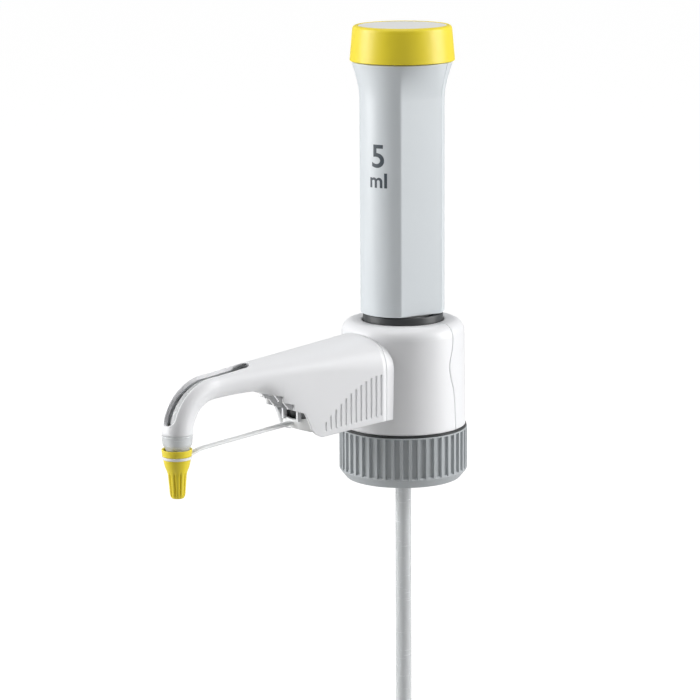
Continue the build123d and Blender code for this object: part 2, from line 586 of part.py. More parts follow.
def slot():
    """Slot along the arm's top and round its bend, with round ends."""
    reach = ARM_TUBE_R + 4
    half = SLOT_W / 2
    inner, outer = BEND_R + 2.6, BEND_R + reach
    straight = block(-BEND_X, -SLOT_X - half, -half, half, ARM_END_Z + 2.6, ARM_END_Z + reach)
    start = Pos(-SLOT_X - half, 0, ARM_END_Z + 2.6 + (reach - 2.6) / 2) * Cylinder(half, reach - 2.6)
    ring = Plane.XZ * (Pos(-BEND_X, BEND_Z) * (Circle(outer) - Circle(inner)))
    sector = Pos(0, -half, 0) * extrude(ring, amount=-SLOT_W)
    above = block(-NOZZLE_X - 20, -BEND_X, -half, half, BEND_Z, ARM_END_Z + 20)
    turn = SLOT_END_ANGLE
    wedge = Pos(-BEND_X, 0, BEND_Z) * Rot(0, -turn, 0) * block(-60, 0, -half, half, -60, 0)
    end = Pos(-BEND_X, 0, BEND_Z) * Rot(0, -turn, 0) * (Pos(0, 0, (inner + outer) / 2) * Cylinder(half, outer - inner))
    return straight + start + ((sector & above) - wedge) + end


def make_arm():
    cover = arm_form(0) - arm_form(ARM_WALL)
    cover -= underside()
    cover -= grooves()
    cover -= slot()
    cover -= body_form(-SEAM)
    cover -= block(-ARM_BACK_X - SEAM, 0, -40, 40, 0, 80)
    keep("arm_cover", cover)

    # dark cradle that holds the tube and the valve inside the cover
    half = 5.2
    cradle = block(-60, -ARM_BACK_X - 6, -half, half, 44.6, DUCT_Z - 1.2) - lying(
        TUBE_R + SEATED, 0, -62, 0, DUCT_Z)
    cradle -= lying(D_VALVE_R + SEATED, 0, -D_VALVE_X - D_VALVE_LEN - 0.2, 0, DUCT_Z)
    keep("tube_cradle", cradle)

    path = Plane.XZ * (Pos(-BEND_X, BEND_Z) * CenterArc((0, 0), BEND_R, 90, 90))
    start = -D_VALVE_X - D_VALVE_LEN - SEATED
    end_z = BEND_Z - NOZZLE_DROP

    def run(r):
        bend = sweep(across_at(BEND_X, ARM_END_Z) * Circle(r), path=path)
        return lying(r, 0, -BEND_X, start, ARM_END_Z) + bend + tube(r, 0, end_z, BEND_Z, x=-NOZZLE_X)

    keep("discharge_tube", run(TUBE_R) - run(TUBE_BORE_R))
    collar_top = BEND_Z - COLLAR_SINK
    keep("nozzle_collar", turned(
        (TUBE_R + SEATED, collar_top - COLLAR_H), (COLLAR_R, collar_top - COLLAR_H), (COLLAR_R, collar_top),
        (TUBE_R + SEATED, collar_top), x=-NOZZLE_X,
    ))


def along_arm(shape):
    """A shape turned about Z, laid along the duct with its foot at the valve's inlet."""
    return Pos(-D_VALVE_X, 0, DUCT_Z) * Rot(0, -90, 0) * shape


def make_discharge_valve():
    ball_at = 3.2
    keep("discharge_valve_body", along_arm(turned(
        (D_CHAMBER_R, 0), (D_VALVE_R, 0), (D_VALVE_R, D_VALVE_LEN), (TUBE_BORE_R, D_VALVE_LEN),
        (TUBE_BORE_R, D_CHAMBER), (D_CHAMBER_R, D_CHAMBER),
    )))
    keep("discharge_valve_seat", along_arm(turned(
        (TUBE_BORE_R - 0.3, 0), (D_CHAMBER_R - SEATED, 0), (D_CHAMBER_R - SEATED, 2.6),
        (D_BALL_R + 0.1, 2.6), (TUBE_BORE_R - 0.3, 1.7),
    )))
    keep("discharge_ball", along_arm(Pos(0, 0, ball_at) * Sphere(D_BALL_R)))
    keep("discharge_spring", along_arm(tube(D_BALL_R, D_BALL_R - 0.5, ball_at + D_BALL_R + 0.1, D_CHAMBER - 0.1)))


# ---------------------------------------------------------------------------- screw cap and strap
GROOVE_TOP = SC_TOP_Z - SC_RIM_H
GROOVE_LOW = GROOVE_TOP - SC_GROOVE_H
CONE_LOW = GROOVE_LOW - SC_CONE_H
CAP_LOW = CONE_LOW - SC_GRIP_H


def make_screw_cap():
    cap = turned(
        (0, CAP_LOW), (SC_END_R, CAP_LOW), (SC_GRIP_R, CONE_LOW), (SC_CONE_R, GROOVE_LOW), (SC_GROOVE_R, GROOVE_LOW),
        (SC_GROOVE_R, GROOVE_TOP), (SC_RIM_R - 0.3, GROOVE_TOP), (SC_RIM_R, SC_TOP_Z), (0, SC_TOP_Z), x=-NOZZLE_X,
    )
    end_z = BEND_Z - NOZZLE_DROP
    collar_low = BEND_Z - COLLAR_SINK - COLLAR_H
    cap -= tube(COLLAR_R + FREE, 0, collar_low - 0.3, SC_TOP_Z, x=-NOZZLE_X)
    cap -= tube(TUBE_R + FREE, 0, end_z - 0.3, SC_TOP_Z, x=-NOZZLE_X)
    flutes = Sketch() + [spot * Circle(0.6) for spot in PolarLocations(SC_GRIP_R + 0.25, SC_FLUTES)]
    cap -= extrude(Pos(-NOZZLE_X, 0, CAP_LOW) * flutes, amount=SC_GRIP_H - 1.0)
    keep("screw_cap", cap)

    eye_in, eye_out = SC_GROOVE_R + FREE, SC_GROOVE_R + FREE + EYE_WALL
    keep("strap_eye", tube(eye_out, eye_in, GROOVE_LOW + 0.1, GROOVE_TOP - 0.1, x=-NOZZLE_X))

    # flat strap from the plate under the arm to the eye
    mid = (GROOVE_LOW + GROOVE_TOP) / 2
    x_eye = -NOZZLE_X + eye_out - 0.05
    thin = (SC_GROOVE_H - 0.2) / 2
    strap = side_plate(
        (x_eye, mid - thin), (-STRAP_ROOT_X - 14, STRAP_ROOT_Z - 0.6 - STRAP_T / 2), (-STRAP_ROOT_X, STRAP_ROOT_Z - STRAP_T / 2),
        (-STRAP_ROOT_X, STRAP_ROOT_Z + STRAP_T / 2), (-STRAP_ROOT_X - 14, STRAP_ROOT_Z - 0.6 + STRAP_T / 2),
        (x_eye, mid + thin), y0=-STRAP_W / 2, y1=STRAP_W / 2,
    )
    keep("cap_strap", strap - tube(eye_out, 0, mid - 2, mid + 2, x=-NOZZLE_X))

    # plate that closes the arm from below and carries the strap, cut to the cover's inside
    low = Spline((-STRAP_ROOT_X, STRAP_ROOT_Z - STRAP_T / 2), (-60.5, 30.6), (-56.0, 28.4), (-50.0, 28.0))
    plate_edge = low + Line((-50.0, 28.0), (-ARM_BACK_X - 3, 30.8))
    lifted = Pos(0, STRAP_PLATE_T) * plate_edge
    ends = [Line(plate_edge @ 0, lifted @ 0), Line(plate_edge @ 1, lifted @ 1)]
    face = Plane.XZ * make_face(plate_edge + lifted + ends)
    plate = Pos(0, -30, 0) * extrude(face, amount=-60)
    keep("arm_base_plate", plate & arm_form(ARM_WALL + 0.1))


# ---------------------------------------------------------------------------- write the sub-parts
make_mount()
make_valve_block()
make_covers()
make_dosing_unit()
make_handle()
make_filling_side()
make_arm()
make_discharge_valve()
make_screw_cap()
os.makedirs("parts", exist_ok=True)
for name, shape in PARTS.items():
    export_step(shape, f"parts/{name}.step")
print(len(PARTS), "sub-parts, stroke", round(STROKE, 2), "mm")
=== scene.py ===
import json
import math

import bmesh
import bpy
import numpy as np
from mathutils import Matrix, Vector


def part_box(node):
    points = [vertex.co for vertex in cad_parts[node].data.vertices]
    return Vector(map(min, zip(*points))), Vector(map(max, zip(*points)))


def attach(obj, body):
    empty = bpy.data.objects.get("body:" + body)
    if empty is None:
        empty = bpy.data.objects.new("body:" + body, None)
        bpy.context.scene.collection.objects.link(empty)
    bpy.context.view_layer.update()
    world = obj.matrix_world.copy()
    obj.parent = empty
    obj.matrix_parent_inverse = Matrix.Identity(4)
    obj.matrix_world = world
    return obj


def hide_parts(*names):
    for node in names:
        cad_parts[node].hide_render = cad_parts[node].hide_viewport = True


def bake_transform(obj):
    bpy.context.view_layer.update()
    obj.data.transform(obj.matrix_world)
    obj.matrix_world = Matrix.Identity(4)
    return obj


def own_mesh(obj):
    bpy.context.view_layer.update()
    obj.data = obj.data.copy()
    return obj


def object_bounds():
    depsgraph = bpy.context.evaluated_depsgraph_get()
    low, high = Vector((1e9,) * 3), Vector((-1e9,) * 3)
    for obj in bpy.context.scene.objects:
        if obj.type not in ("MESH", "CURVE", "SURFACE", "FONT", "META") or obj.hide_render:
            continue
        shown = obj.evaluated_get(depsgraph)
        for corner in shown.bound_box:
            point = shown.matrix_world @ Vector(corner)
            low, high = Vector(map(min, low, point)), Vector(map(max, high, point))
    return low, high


bl_info = {
    "name": "Bottle top dispenser",
    "version": (1, 0, 0),
    "blender": (4, 5, 0),
    "location": "View3D > Sidebar > Dispenser",
    "description": "Dresses the packed bottle top dispenser with its moulded surfaces, finishes and stage",
    "category": "Object",
}

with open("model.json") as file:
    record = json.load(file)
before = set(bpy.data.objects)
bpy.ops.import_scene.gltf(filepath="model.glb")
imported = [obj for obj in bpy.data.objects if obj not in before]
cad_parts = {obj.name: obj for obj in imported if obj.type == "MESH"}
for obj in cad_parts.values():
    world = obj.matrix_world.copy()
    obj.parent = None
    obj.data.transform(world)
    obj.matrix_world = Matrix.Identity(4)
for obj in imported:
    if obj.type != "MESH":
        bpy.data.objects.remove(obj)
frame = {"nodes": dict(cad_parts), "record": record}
NODES = frame["nodes"]
CAD_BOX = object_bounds()
MM = 0.001


def levels(node, axis=2):
    """Lowest and highest coordinate of a node along an axis, in millimetres."""
    low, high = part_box(node)
    return low[axis] / MM, high[axis] / MM


# ------------------------------------------------------------------------- sizes read from the frame, in mm
NUT_TOP = levels("mount_nut")[1]
NUT_R = levels("mount_nut", 0)[1]
BODY_LOW, BODY_TOP = levels("body_front_cover")
HANDLE_LOW, HANDLE_TOP = levels("handle_front_shell")
CAP_LOW, CAP_TOP = levels("top_cap")
RING_LOW, RING_TOP = levels("safety_ring")
SCREW_TOP = levels("screw_cap")[1]

# ------------------------------------------------------------------------- sizes of the mouldings, in mm
BODY_FOOT_R, BODY_HEAD_R, BODY_SHOULDER, BODY_MOUTH_R, BODY_WALL = 26.6, 26.1, 5.0, 17.4, 2.4
NUT_FOOT_R, NUT_FOOT_H, NUT_BORE_R, NUT_NECK_R, NUT_SHELF = 24.4, 3.6, 22.6, 20.05, 17.4
HANDLE_R, HANDLE_FRONT, HANDLE_SIDE, HANDLE_WALL = 17.67, 18.5, 14.75, 1.8
HANDLE_CREASE, HANDLE_SEAM, FLARE_LOW, FLARE_R = 133.5, 7.5, HANDLE_LOW + 90.5, 21.3
CAP_R, CAP_TOP_R, CAP_RECESS_R = 22.0, 20.7, 18.7
CAP_DISC_SINK, CAP_FLOOR, CAP_BOSS_R = 0.9, 1.6, 7.0
NUMBER_SIZE, NUMBER_Z, UNIT_SIZE, UNIT_Z, PRINT_ASIDE = 13.5, 139.4, 8.6, 129.3, 4.6
RING_R, RING_MOUTH_R, RING_BORE_R, RING_WELL = 17.0, 15.6, 12.1, 4.0
RING_FOOT_R, RING_SEAT_R, RING_SEAT_H, RING_STEP_H = 16.02, 15.45, 4.9, 2.9
ARM_BACK, ARM_HALF, ARM_TOP, ARM_SLOPE = 23.9, 17.0, 65.1, 0.0707
ARM_RISE, ARM_PIPE, ARM_END_R = 14.1, 5.6, 6.3
ARM_TAPER, ARM_HANG, HANG_START, HANG_END, ARM_SQUARE = 1.25, 45.0, 54.0, 83.0, 0.96
ROUND, ARCH_ROUND = 0.5523, 0.64
ARM_FOOT, ARM_END, BEND_X, ARM_WALL = 30.1, 120.4, 103.0, 1.6
NOZZLE = -sum(levels("screw_cap", 0)) / 2
SCREW_DROP, SCREW_LENGTH, COLLAR_R, TUBE_R = 2.5, 20.2, 6.2, 3.0
SCREW_RIM_R, SCREW_CUP_R, SCREW_BORE_R, SCREW_GROOVE_R = 6.2, 5.3, 3.35, 5.15
SCREW_CONE_R, SCREW_SHOULDER_R, SCREW_GRIP_R, SCREW_END_R = 5.6, 4.95, 3.9, 3.15
SCREW_RIM_H, SCREW_GROOVE_H, SCREW_CONE_H, SCREW_CUP_H, SCREW_BORE_H = 2.7, 1.3, 5.6, 2.0, 6.75
FLUTES, FLUTE_DEPTH = 10, 0.55
STRAP_X, STRAP_Z, STRAP_LENGTH, STRAP_SLOPE = 61.6, 32.2, 54.35, 0.0705
STRAP_TURN_X, STRAP_TURN_LENGTH, STRAP_T, EYE_R, EYE_HALF, EYE_T = 108.5, 7.4, 0.75, 5.8, 0.29, 0.55
BEND_R = ARM_END - BEND_X
BEND_Z = ARM_TOP - ARM_SLOPE * (BEND_X - ARM_BACK) - ARM_PIPE - BEND_R
SLOT_FROM, SLOT_TO, SLOT_HALF, SLOT_DIP, SLOT_DIP_WIDTH = 84.6, 80.0, 3.3, 0.35, 0.8
ARM_BACK_BLEND = 27.6
STEPS = ((72.4, 46.1, 43.4), (67.5, 42.1, 39.5))
STEP_END = (62.5, 37.7)
LIP_X, LIP_BULGE, LIP_EDGE, LIP_FOOT, LIP_HALF, LIP_T = 62.0, 27.0, 33.9, 30.2, 9.1, 1.2
LIP_DIP, LIP_SAG = 62.0, 90.0
PLATE_T, RIB_Y, RIB_T = 1.4, 4.2, 1.0
# Box of the cradle foot: a near-black block that paints the shade in the hollow under the arm.
SHADE_CRADLE_FRONT, SHADE_CRADLE_BACK, SHADE_CRADLE_HALF, SHADE_CRADLE_Z = 58.0, 36.0, 5.2, (33.0, 44.5)


# ---------------------------------------------------------------------------- settings
class DispenserSizes(bpy.types.PropertyGroup):
    """Sizes of the finishing detail."""

    nut_ribs: bpy.props.IntProperty(
        name="Nut grooves", description="Number of grip grooves round the mount nut",
        default=46, min=12, max=90)
    groove_depth: bpy.props.FloatProperty(
        name="Groove depth", description="Depth of the nut's grip grooves", default=0.0011, unit="LENGTH")
    thread_pitch: bpy.props.FloatProperty(
        name="Thread pitch", description="Rise of the bottle thread in one turn",
        default=0.004, unit="LENGTH")
    thread_depth: bpy.props.FloatProperty(
        name="Thread depth", description="Height of the bottle thread's crest",
        default=0.0011, unit="LENGTH")
    seam: bpy.props.FloatProperty(
        name="Seam", description="Width of the joint line between two mouldings",
        default=0.00025, unit="LENGTH")
    edge: bpy.props.FloatProperty(
        name="Edge round", description="Round on the rims of the mouldings", default=0.0005, unit="LENGTH")
    lens: bpy.props.FloatProperty(
        name="Lens", description="Focal length of the camera", default=150.2, unit="CAMERA")


class DispenserFinishes(bpy.types.PropertyGroup):
    """Colours of the mouldings and depth of their grain."""

    white: bpy.props.FloatVectorProperty(
        name="White", description="Covers of the valve block and arm", subtype="COLOR", size=3,
        default=(0.82, 0.825, 0.84))
    handle: bpy.props.FloatVectorProperty(
        name="Handle", description="Both shells of the handle", subtype="COLOR", size=3,
        default=(0.68, 0.72, 0.745))
    yellow: bpy.props.FloatVectorProperty(
        name="Yellow", description="Top cap and screw cap", subtype="COLOR", size=3,
        default=(0.84, 0.68, 0.022))
    nut: bpy.props.FloatVectorProperty(
        name="Nut grey", description="Mount nut", subtype="COLOR", size=3, default=(0.44, 0.465, 0.48))
    # The tube cradle does not take this colour; its near-black dark_cradle finish in the finishes operator
    # is painted shade.
    dark: bpy.props.FloatVectorProperty(
        name="Dark grey", description="Safety ring and tube cradle", subtype="COLOR", size=3,
        default=(0.035, 0.038, 0.040))
    print: bpy.props.FloatVectorProperty(
        name="Print", description="Printed capacity", subtype="COLOR", size=3, default=(0.045, 0.06, 0.075))
    grain: bpy.props.FloatProperty(
        name="Grain", description="Strength of the moulded grain", default=0.10, min=0.0, max=1.0)


def sizes():
    """The size settings of the scene."""
    return bpy.context.scene.dispenser_sizes


def finishes():
    """The colour settings of the scene."""
    return bpy.context.scene.dispenser_finishes


# ---------------------------------------------------------------------------- meshes from grids
def mesh_piece(name, points, quads, angle=40.0):
    """Mesh object of points in mm and four-cornered faces, with doubles merged, faces turned outwards and
    smooth shading broken where two faces meet at more than the angle."""
    mesh = bpy.data.meshes.new(name)
    points = np.ascontiguousarray(points.reshape(-1, 3) * MM, dtype=np.float32)
    quads = np.ascontiguousarray(quads.reshape(-1, 4), dtype=np.int32)
    mesh.vertices.add(len(points))
    mesh.vertices.foreach_set("co", points.ravel())
    mesh.loops.add(quads.size)
    mesh.loops.foreach_set("vertex_index", quads.ravel())
    mesh.polygons.add(len(quads))
    mesh.polygons.foreach_set("loop_start", np.arange(0, quads.size, 4, dtype=np.int32))
    mesh.update(calc_edges=True)
    mesh.validate()
    work = bmesh.new()
    work.from_mesh(mesh)
    bmesh.ops.remove_doubles(work, verts=work.verts, dist=2e-6)
    bmesh.ops.dissolve_degenerate(work, edges=work.edges, dist=1e-7)
    bmesh.ops.recalc_face_normals(work, faces=work.faces)
    work.to_mesh(mesh)
    work.free()
    mesh.shade_smooth()
    mesh.set_sharp_from_angle(angle=math.radians(angle))
    piece = bpy.data.objects.new(name, mesh)
    bpy.context.scene.collection.objects.link(piece)
    return piece


def grid_quads(rows, columns, loop_rows=False, loop_columns=False):
    """Corner numbers of the faces of a grid, wrapped round where a direction is a loop."""
    index = np.arange(rows * columns).reshape(rows, columns)
    if loop_rows:
        index = np.vstack([index, index[:1]])
    if loop_columns:
        index = np.hstack([index, index[:, :1]])
    return np.stack([index[:-1, :-1], index[1:, :-1], index[1:, 1:], index[:-1, 1:]], -1)


def around(r, t, z, x=0.0):
    """Points (x + r cos t, r sin t, z) about the upright axis at x."""
    return np.stack([x + r * np.cos(t), r * np.sin(t), z + 0 * t], -1)


def lathe(name, profile, x=0.0, steps=160, angle=40.0):
    """Surface of revolution of a closed (r, z) profile, for t round a full turn."""
    r, z = np.array(profile, float).T
    t = np.linspace(0, 2 * np.pi, steps, endpoint=False)[:, None]
    return mesh_piece(name, around(r, t, z, x), grid_quads(steps, len(r), True, True), angle)


def rounded(corners, radii, steps=6):
    """Closed outline through (r, z) corners, each rounded by a quadratic curve that starts and ends at the
    given distance from its corner: p(s) = (1-s)^2 a + 2 s (1-s) c + s^2 b."""
    c = np.array(corners, float)
    cut = np.broadcast_to(np.array(radii, float), len(c))[:, None]
    before, after = np.roll(c, 1, 0) - c, np.roll(c, -1, 0) - c
    a = c + before / np.linalg.norm(before, axis=1, keepdims=True) * cut
    b = c + after / np.linalg.norm(after, axis=1, keepdims=True) * cut
    s = np.linspace(0, 1, steps)[None, :, None]
    curve = (1 - s) ** 2 * a[:, None] + 2 * s * (1 - s) * c[:, None] + s**2 * b[:, None]
    return curve.reshape(-1, 2)


def shell(name, outer, inner, angle=40.0):
    """Closed thin moulding between an outer and an inner grid of equal size, joined along both side edges.
    The first and last rows of the two grids coincide, which closes its ends."""
    loop = np.concatenate([outer, inner[:, ::-1]], 1)
    return mesh_piece(name, loop, grid_quads(loop.shape[0], loop.shape[1], False, True), angle)


def rim_levels(low, high, edge, inside, steps=5):
    """Levels from low to high with a quarter round at both ends: returns the levels and how far the wall's
    two faces have moved towards each other there, which is all the way, 'inside', at the very ends."""
    s = np.linspace(0, np.pi / 2, steps)
    rise, close = edge * (1 - np.cos(s)), edge * (1 - np.sin(s))
    z = np.concatenate([[low], low + rise, high - rise[::-1], [high]])
    moved = np.concatenate([[inside], close, close[::-1], [inside]])
    return z, moved


def finish_piece(piece, body, slot, *replaced, finish=None):
    """Gives a piece the slot's finish or another one, hangs it on its body, and hides the nodes it stands
    for.
    """
    piece.data.materials.clear()
    piece.data.materials.append(named(finish or slot))
    if body is not None:
        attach(piece, body)
    if replaced:
        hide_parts(*replaced)
    return piece


# ---------------------------------------------------------------------------- materials
def new_group(name, inputs, outputs):
    """Empty shader node group with named sockets, and its input and output nodes."""
    group = bpy.data.node_groups.new(name, "ShaderNodeTree")
    for label, kind, value in inputs:
        socket = group.interface.new_socket(label, in_out="INPUT", socket_type=kind)
        if value is not None:
            socket.default_value = value
    for label, kind in outputs:
        group.interface.new_socket(label, in_out="OUTPUT", socket_type=kind)
    return group, group.nodes.new("NodeGroupInput"), group.nodes.new("NodeGroupOutput")


def maths(tree, kind, first, second):
    """Math node of a kind with each operand either a socket or a number."""
    node = tree.nodes.new("ShaderNodeMath")
    node.operation = kind
    for socket, value in zip(node.inputs, (first, second)):
        if isinstance(value, (int, float)):
            socket.default_value = value
        else:
            tree.links.new(value, socket)
    return node.outputs[0]


def mix_colour(tree, factor, first, second, kind="MIX"):
    """Colour mix of two sockets or colours."""
    node = tree.nodes.new("ShaderNodeMix")
    node.data_type = "RGBA"
    node.blend_type = kind
    for socket, value in ((node.inputs[0], factor), (node.inputs[6], first), (node.inputs[7], second)):
        if isinstance(value, bpy.types.NodeSocket):
            tree.links.new(value, socket)
        elif isinstance(value, (int, float)):
            socket.default_value = value
        else:
            socket.default_value = (*value, 1.0)
    return node.outputs[2]


def moulded_group():
    """Moulded plastic: fine grain as a height, cloudy flow marks as a slight change of colour, and handling
    marks as a change of roughness."""
    group, source, sink = new_group(
        "Moulded plastic",
        [("Vector", "NodeSocketVector", None), ("Colour", "NodeSocketColor", (0.8, 0.8, 0.8, 1)),
         ("Roughness", "NodeSocketFloat", 0.35), ("Variation", "NodeSocketFloat", 0.04)],
        [("Colour", "NodeSocketColor"), ("Roughness", "NodeSocketFloat"), ("Height", "NodeSocketFloat")],
    )
    link = group.links.new
    grain, flow, marks = (group.nodes.new("ShaderNodeTexNoise") for _ in range(3))
    for node, scale, detail in ((grain, 2600.0, 3.0), (flow, 38.0, 2.0), (marks, 420.0, 5.0)):
        node.inputs["Scale"].default_value = scale
        node.inputs["Detail"].default_value = detail
        link(source.outputs["Vector"], node.inputs["Vector"])
    shade = group.nodes.new("ShaderNodeMapRange")
    shade.inputs["From Min"].default_value = 0.3
    shade.inputs["From Max"].default_value = 0.7
    link(flow.outputs["Fac"], shade.inputs["Value"])
    dark = maths(group, "MULTIPLY", shade.outputs["Result"], source.outputs["Variation"])
    colour = mix_colour(group, dark, source.outputs["Colour"], (0.25, 0.27, 0.30))
    link(colour, sink.inputs["Colour"])
    mark = maths(group, "MULTIPLY", maths(group, "SUBTRACT", marks.outputs["Fac"], 0.5), 0.18)
    link(maths(group, "ADD", source.outputs["Roughness"], mark), sink.inputs["Roughness"])
    link(grain.outputs["Fac"], sink.inputs["Height"])
    return group


def turned_group():
    """Turned or drawn surface: fine rings along one axis as a height and a change of roughness."""
    group, source, sink = new_group(
        "Turned rings",
        [("Vector", "NodeSocketVector", None), ("Roughness", "NodeSocketFloat", 0.3),
         ("Stretch", "NodeSocketVector", (1.0, 1.0, 60.0))],
        [("Roughness", "NodeSocketFloat"), ("Height", "NodeSocketFloat")],
    )
    link = group.links.new
    stretch = group.nodes.new("ShaderNodeVectorMath")
    stretch.operation = "MULTIPLY"
    link(source.outputs["Vector"], stretch.inputs[0])
    link(source.outputs["Stretch"], stretch.inputs[1])
    rings = group.nodes.new("ShaderNodeTexNoise")
    rings.inputs["Scale"].default_value = 90.0
    rings.inputs["Detail"].default_value = 4.0
    link(stretch.outputs[0], rings.inputs["Vector"])
    change = maths(group, "MULTIPLY", maths(group, "SUBTRACT", rings.outputs["Fac"], 0.5), 0.3)
    link(maths(group, "ADD", source.outputs["Roughness"], change), sink.inputs["Roughness"])
    link(rings.outputs["Fac"], sink.inputs["Height"])
    return group


def new_material(name):
    """Material with a Principled shader, object coordinates and a bump node, returned with those nodes."""
    material = bpy.data.materials.new(name)
    material.use_nodes = True
    tree = material.node_tree
    shader = tree.nodes["Principled BSDF"]
    place = tree.nodes.new("ShaderNodeTexCoord").outputs["Object"]
    bump = tree.nodes.new("ShaderNodeBump")
    bump.inputs["Distance"].default_value = 0.0001
    tree.links.new(bump.outputs["Normal"], shader.inputs["Normal"])
    return material, tree, shader, place, bump


def effect_material(name, group, strength, values, **sockets):
    """Material whose roughness and bump come from an effect group, with the group's sockets and the
    shader's values set, returned with its node tree, shader, object coordinates and group node."""
    material, tree, shader, place, bump = new_material(name)
    effect = tree.nodes.new("ShaderNodeGroup")
    effect.node_tree = bpy.data.node_groups[group]
    tree.links.new(place, effect.inputs["Vector"])
    tree.links.new(effect.outputs["Roughness"], shader.inputs["Roughness"])
    tree.links.new(effect.outputs["Height"], bump.inputs["Height"])
    bump.inputs["Strength"].default_value = strength
    for label, value in sockets.items():
        effect.inputs[label].default_value = value
    for label, value in values.items():
        shader.inputs[label.replace("_", " ")].default_value = value
    return material, tree, shader, place, effect


def moulded_material(name, colour, roughness, variation=0.04, **values):
    """Moulded plastic or rubber of one colour."""
    material, tree, shader, _, effect = effect_material(
        name, "Moulded plastic", finishes().grain, values,
        Colour=(*colour, 1.0), Roughness=roughness, Variation=variation)
    tree.links.new(effect.outputs["Colour"], shader.inputs["Base Color"])
    return material


def turned_material(name, colour, roughness, strength=0.15, **values):
    """Metal, glass or machined plastic with fine rings or draw lines."""
    material, tree, shader, place, _ = effect_material(
        name, "Turned rings", strength, values, Roughness=roughness)
    cloud = tree.nodes.new("ShaderNodeTexNoise")
    cloud.inputs["Scale"].default_value = 60.0
    tree.links.new(place, cloud.inputs["Vector"])
    faint = maths(tree, "MULTIPLY", cloud.outputs["Fac"], 0.12)
    dull = tuple(0.6 * c for c in colour)
    tree.links.new(mix_colour(tree, faint, colour, dull), shader.inputs["Base Color"])
    return material


def named(slot):
    """Material made for a slot."""
    return bpy.data.materials["finish_" + slot]


# ---------------------------------------------------------------------------- shapes of the mouldings
def third_circle(a, b, c):
    """Centre and radius of the circles through three plane points each."""
    d = 2 * (a[0] * (b[1] - c[1]) + b[0] * (c[1] - a[1]) + c[0] * (a[1] - b[1]))
    aa, bb, cc = a[0] ** 2 + a[1] ** 2, b[0] ** 2 + b[1] ** 2, c[0] ** 2 + c[1] ** 2
    x = (aa * (b[1] - c[1]) + bb * (c[1] - a[1]) + cc * (a[1] - b[1])) / d
    y = (aa * (c[0] - b[0]) + bb * (a[0] - c[0]) + cc * (b[0] - a[0])) / d
    return x, y, np.hypot(a[0] - x, a[1] - y)


def ray_to_circle(t, circle):
    """Distance from the axis, in the direction t, to a circle round it: d.c + sqrt((d.c)^2 - c.c + R^2)."""
    x, y, radius = circle
    along = np.cos(t) * x + np.sin(t) * y
    return along + np.sqrt(along**2 - x**2 - y**2 + radius**2)


def flare_share(z):
    """How far the handle has widened towards its top at the height z: ((z - z0) / h)^1.6."""
    return np.clip((z - FLARE_LOW) / (HANDLE_TOP - FLARE_LOW), 0, 1) ** 1.6


def handle_radius(t, z, inset):
    """Radius of the handle in the direction t at the height z: the least of three arcs, the crowned front,
    the flat side and the round rear, all going round towards the flare's top. Front and side meet in a
    crease that is rounded by a smooth minimum."""
    share = flare_share(z)
    r = HANDLE_R + share * (FLARE_R - HANDLE_R) - inset
    front = HANDLE_FRONT + share * (FLARE_R - HANDLE_FRONT) - inset
    side = HANDLE_SIDE + share * (FLARE_R - HANDLE_SIDE) - inset
    turn = math.radians(HANDLE_CREASE)
    crease = (r * math.cos(turn), r * math.sin(turn))
    seam = (HANDLE_SEAM + 0 * r, np.sqrt(r**2 - HANDLE_SEAM**2))
    middle = ((crease[0] + seam[0]) / 2, (crease[1] + seam[1]) / 2)
    length = np.hypot(*middle)
    bulge = (middle[0] * side / length, middle[1] * side / length)
    t = np.abs((t + np.pi) % (2 * np.pi) - np.pi)
    centre = (crease[0] ** 2 + crease[1] ** 2 - front**2) / (2 * (crease[0] + front))
    to_front = ray_to_circle(t, (centre, 0, front + centre))
    to_side = ray_to_circle(t, third_circle(crease, bulge, seam))
    soft = 0.06
    least = np.minimum(to_front, to_side)
    both = least - soft * np.log(1 + np.exp(-np.abs(to_front - to_side) / soft))
    at_seam = np.arctan2(seam[1], seam[0])
    return np.where(t < at_seam, r, np.where(t < math.radians(HANDLE_CREASE - 33), to_side, both))


def handle_shell(name, rear):
    """Front or rear half of the handle: both faces of its wall as grids over the direction round it and the
    height, cut at the seam plane."""
    half = HANDLE_WALL / 2
    low, moved_low = rim_levels(HANDLE_LOW, FLARE_LOW, sizes().edge / MM, half)
    flare = np.linspace(FLARE_LOW, HANDLE_TOP - 1.0, 30)
    top, moved_top = rim_levels(FLARE_LOW, HANDLE_TOP, sizes().edge / MM, half)
    z = np.concatenate([low[:6], flare, top[7:]])[:, None]
    moved = np.concatenate([moved_low[:6], 0 * flare, moved_top[7:]])[:, None]
    share = np.linspace(0, 1, 281 if not rear else 97)[None, :]
    share = np.concatenate([[[0, 0.0008, 0.002, 0.004]], share[:, 1:-1], [[0.996, 0.998, 0.9992, 1]]], 1)
    share = np.sort(share, 1)
    full = FLARE_R - (FLARE_R - HANDLE_R) * (1 - flare_share(z))
    grids = []
    for side in (1, -1):
        inset = moved if side == 1 else HANDLE_WALL - moved
        edge_x = HANDLE_SEAM + (sizes().seam / MM if rear else 0)
        start = np.arccos(edge_x / (full - inset))
        t = start * (2 * share - 1) if rear else start + (2 * np.pi - 2 * start) * share
        near = np.minimum(share, 1 - share) * (2 * np.abs(np.pi * (not rear) - start)) * full
        lip = 0.25 * np.clip(1 - near / 0.35, 0, 1) ** 2
        r = handle_radius(t, z + 0 * t, inset + 0 * t) - side * lip
        grids.append(around(r, t, z))
    return shell(name, grids[0], grids[1], 32)


def arm_left(x):
    """Share of the arm's length that is left between the distance x and the bend."""
    return np.clip(1 - (x - ARM_BACK) / (BEND_X - ARM_BACK), 0, 1)


def smooth_step(share):
    """Smooth step s^2 (3 - 2 s) from 0 to 1."""
    return share**2 * (3 - 2 * share)


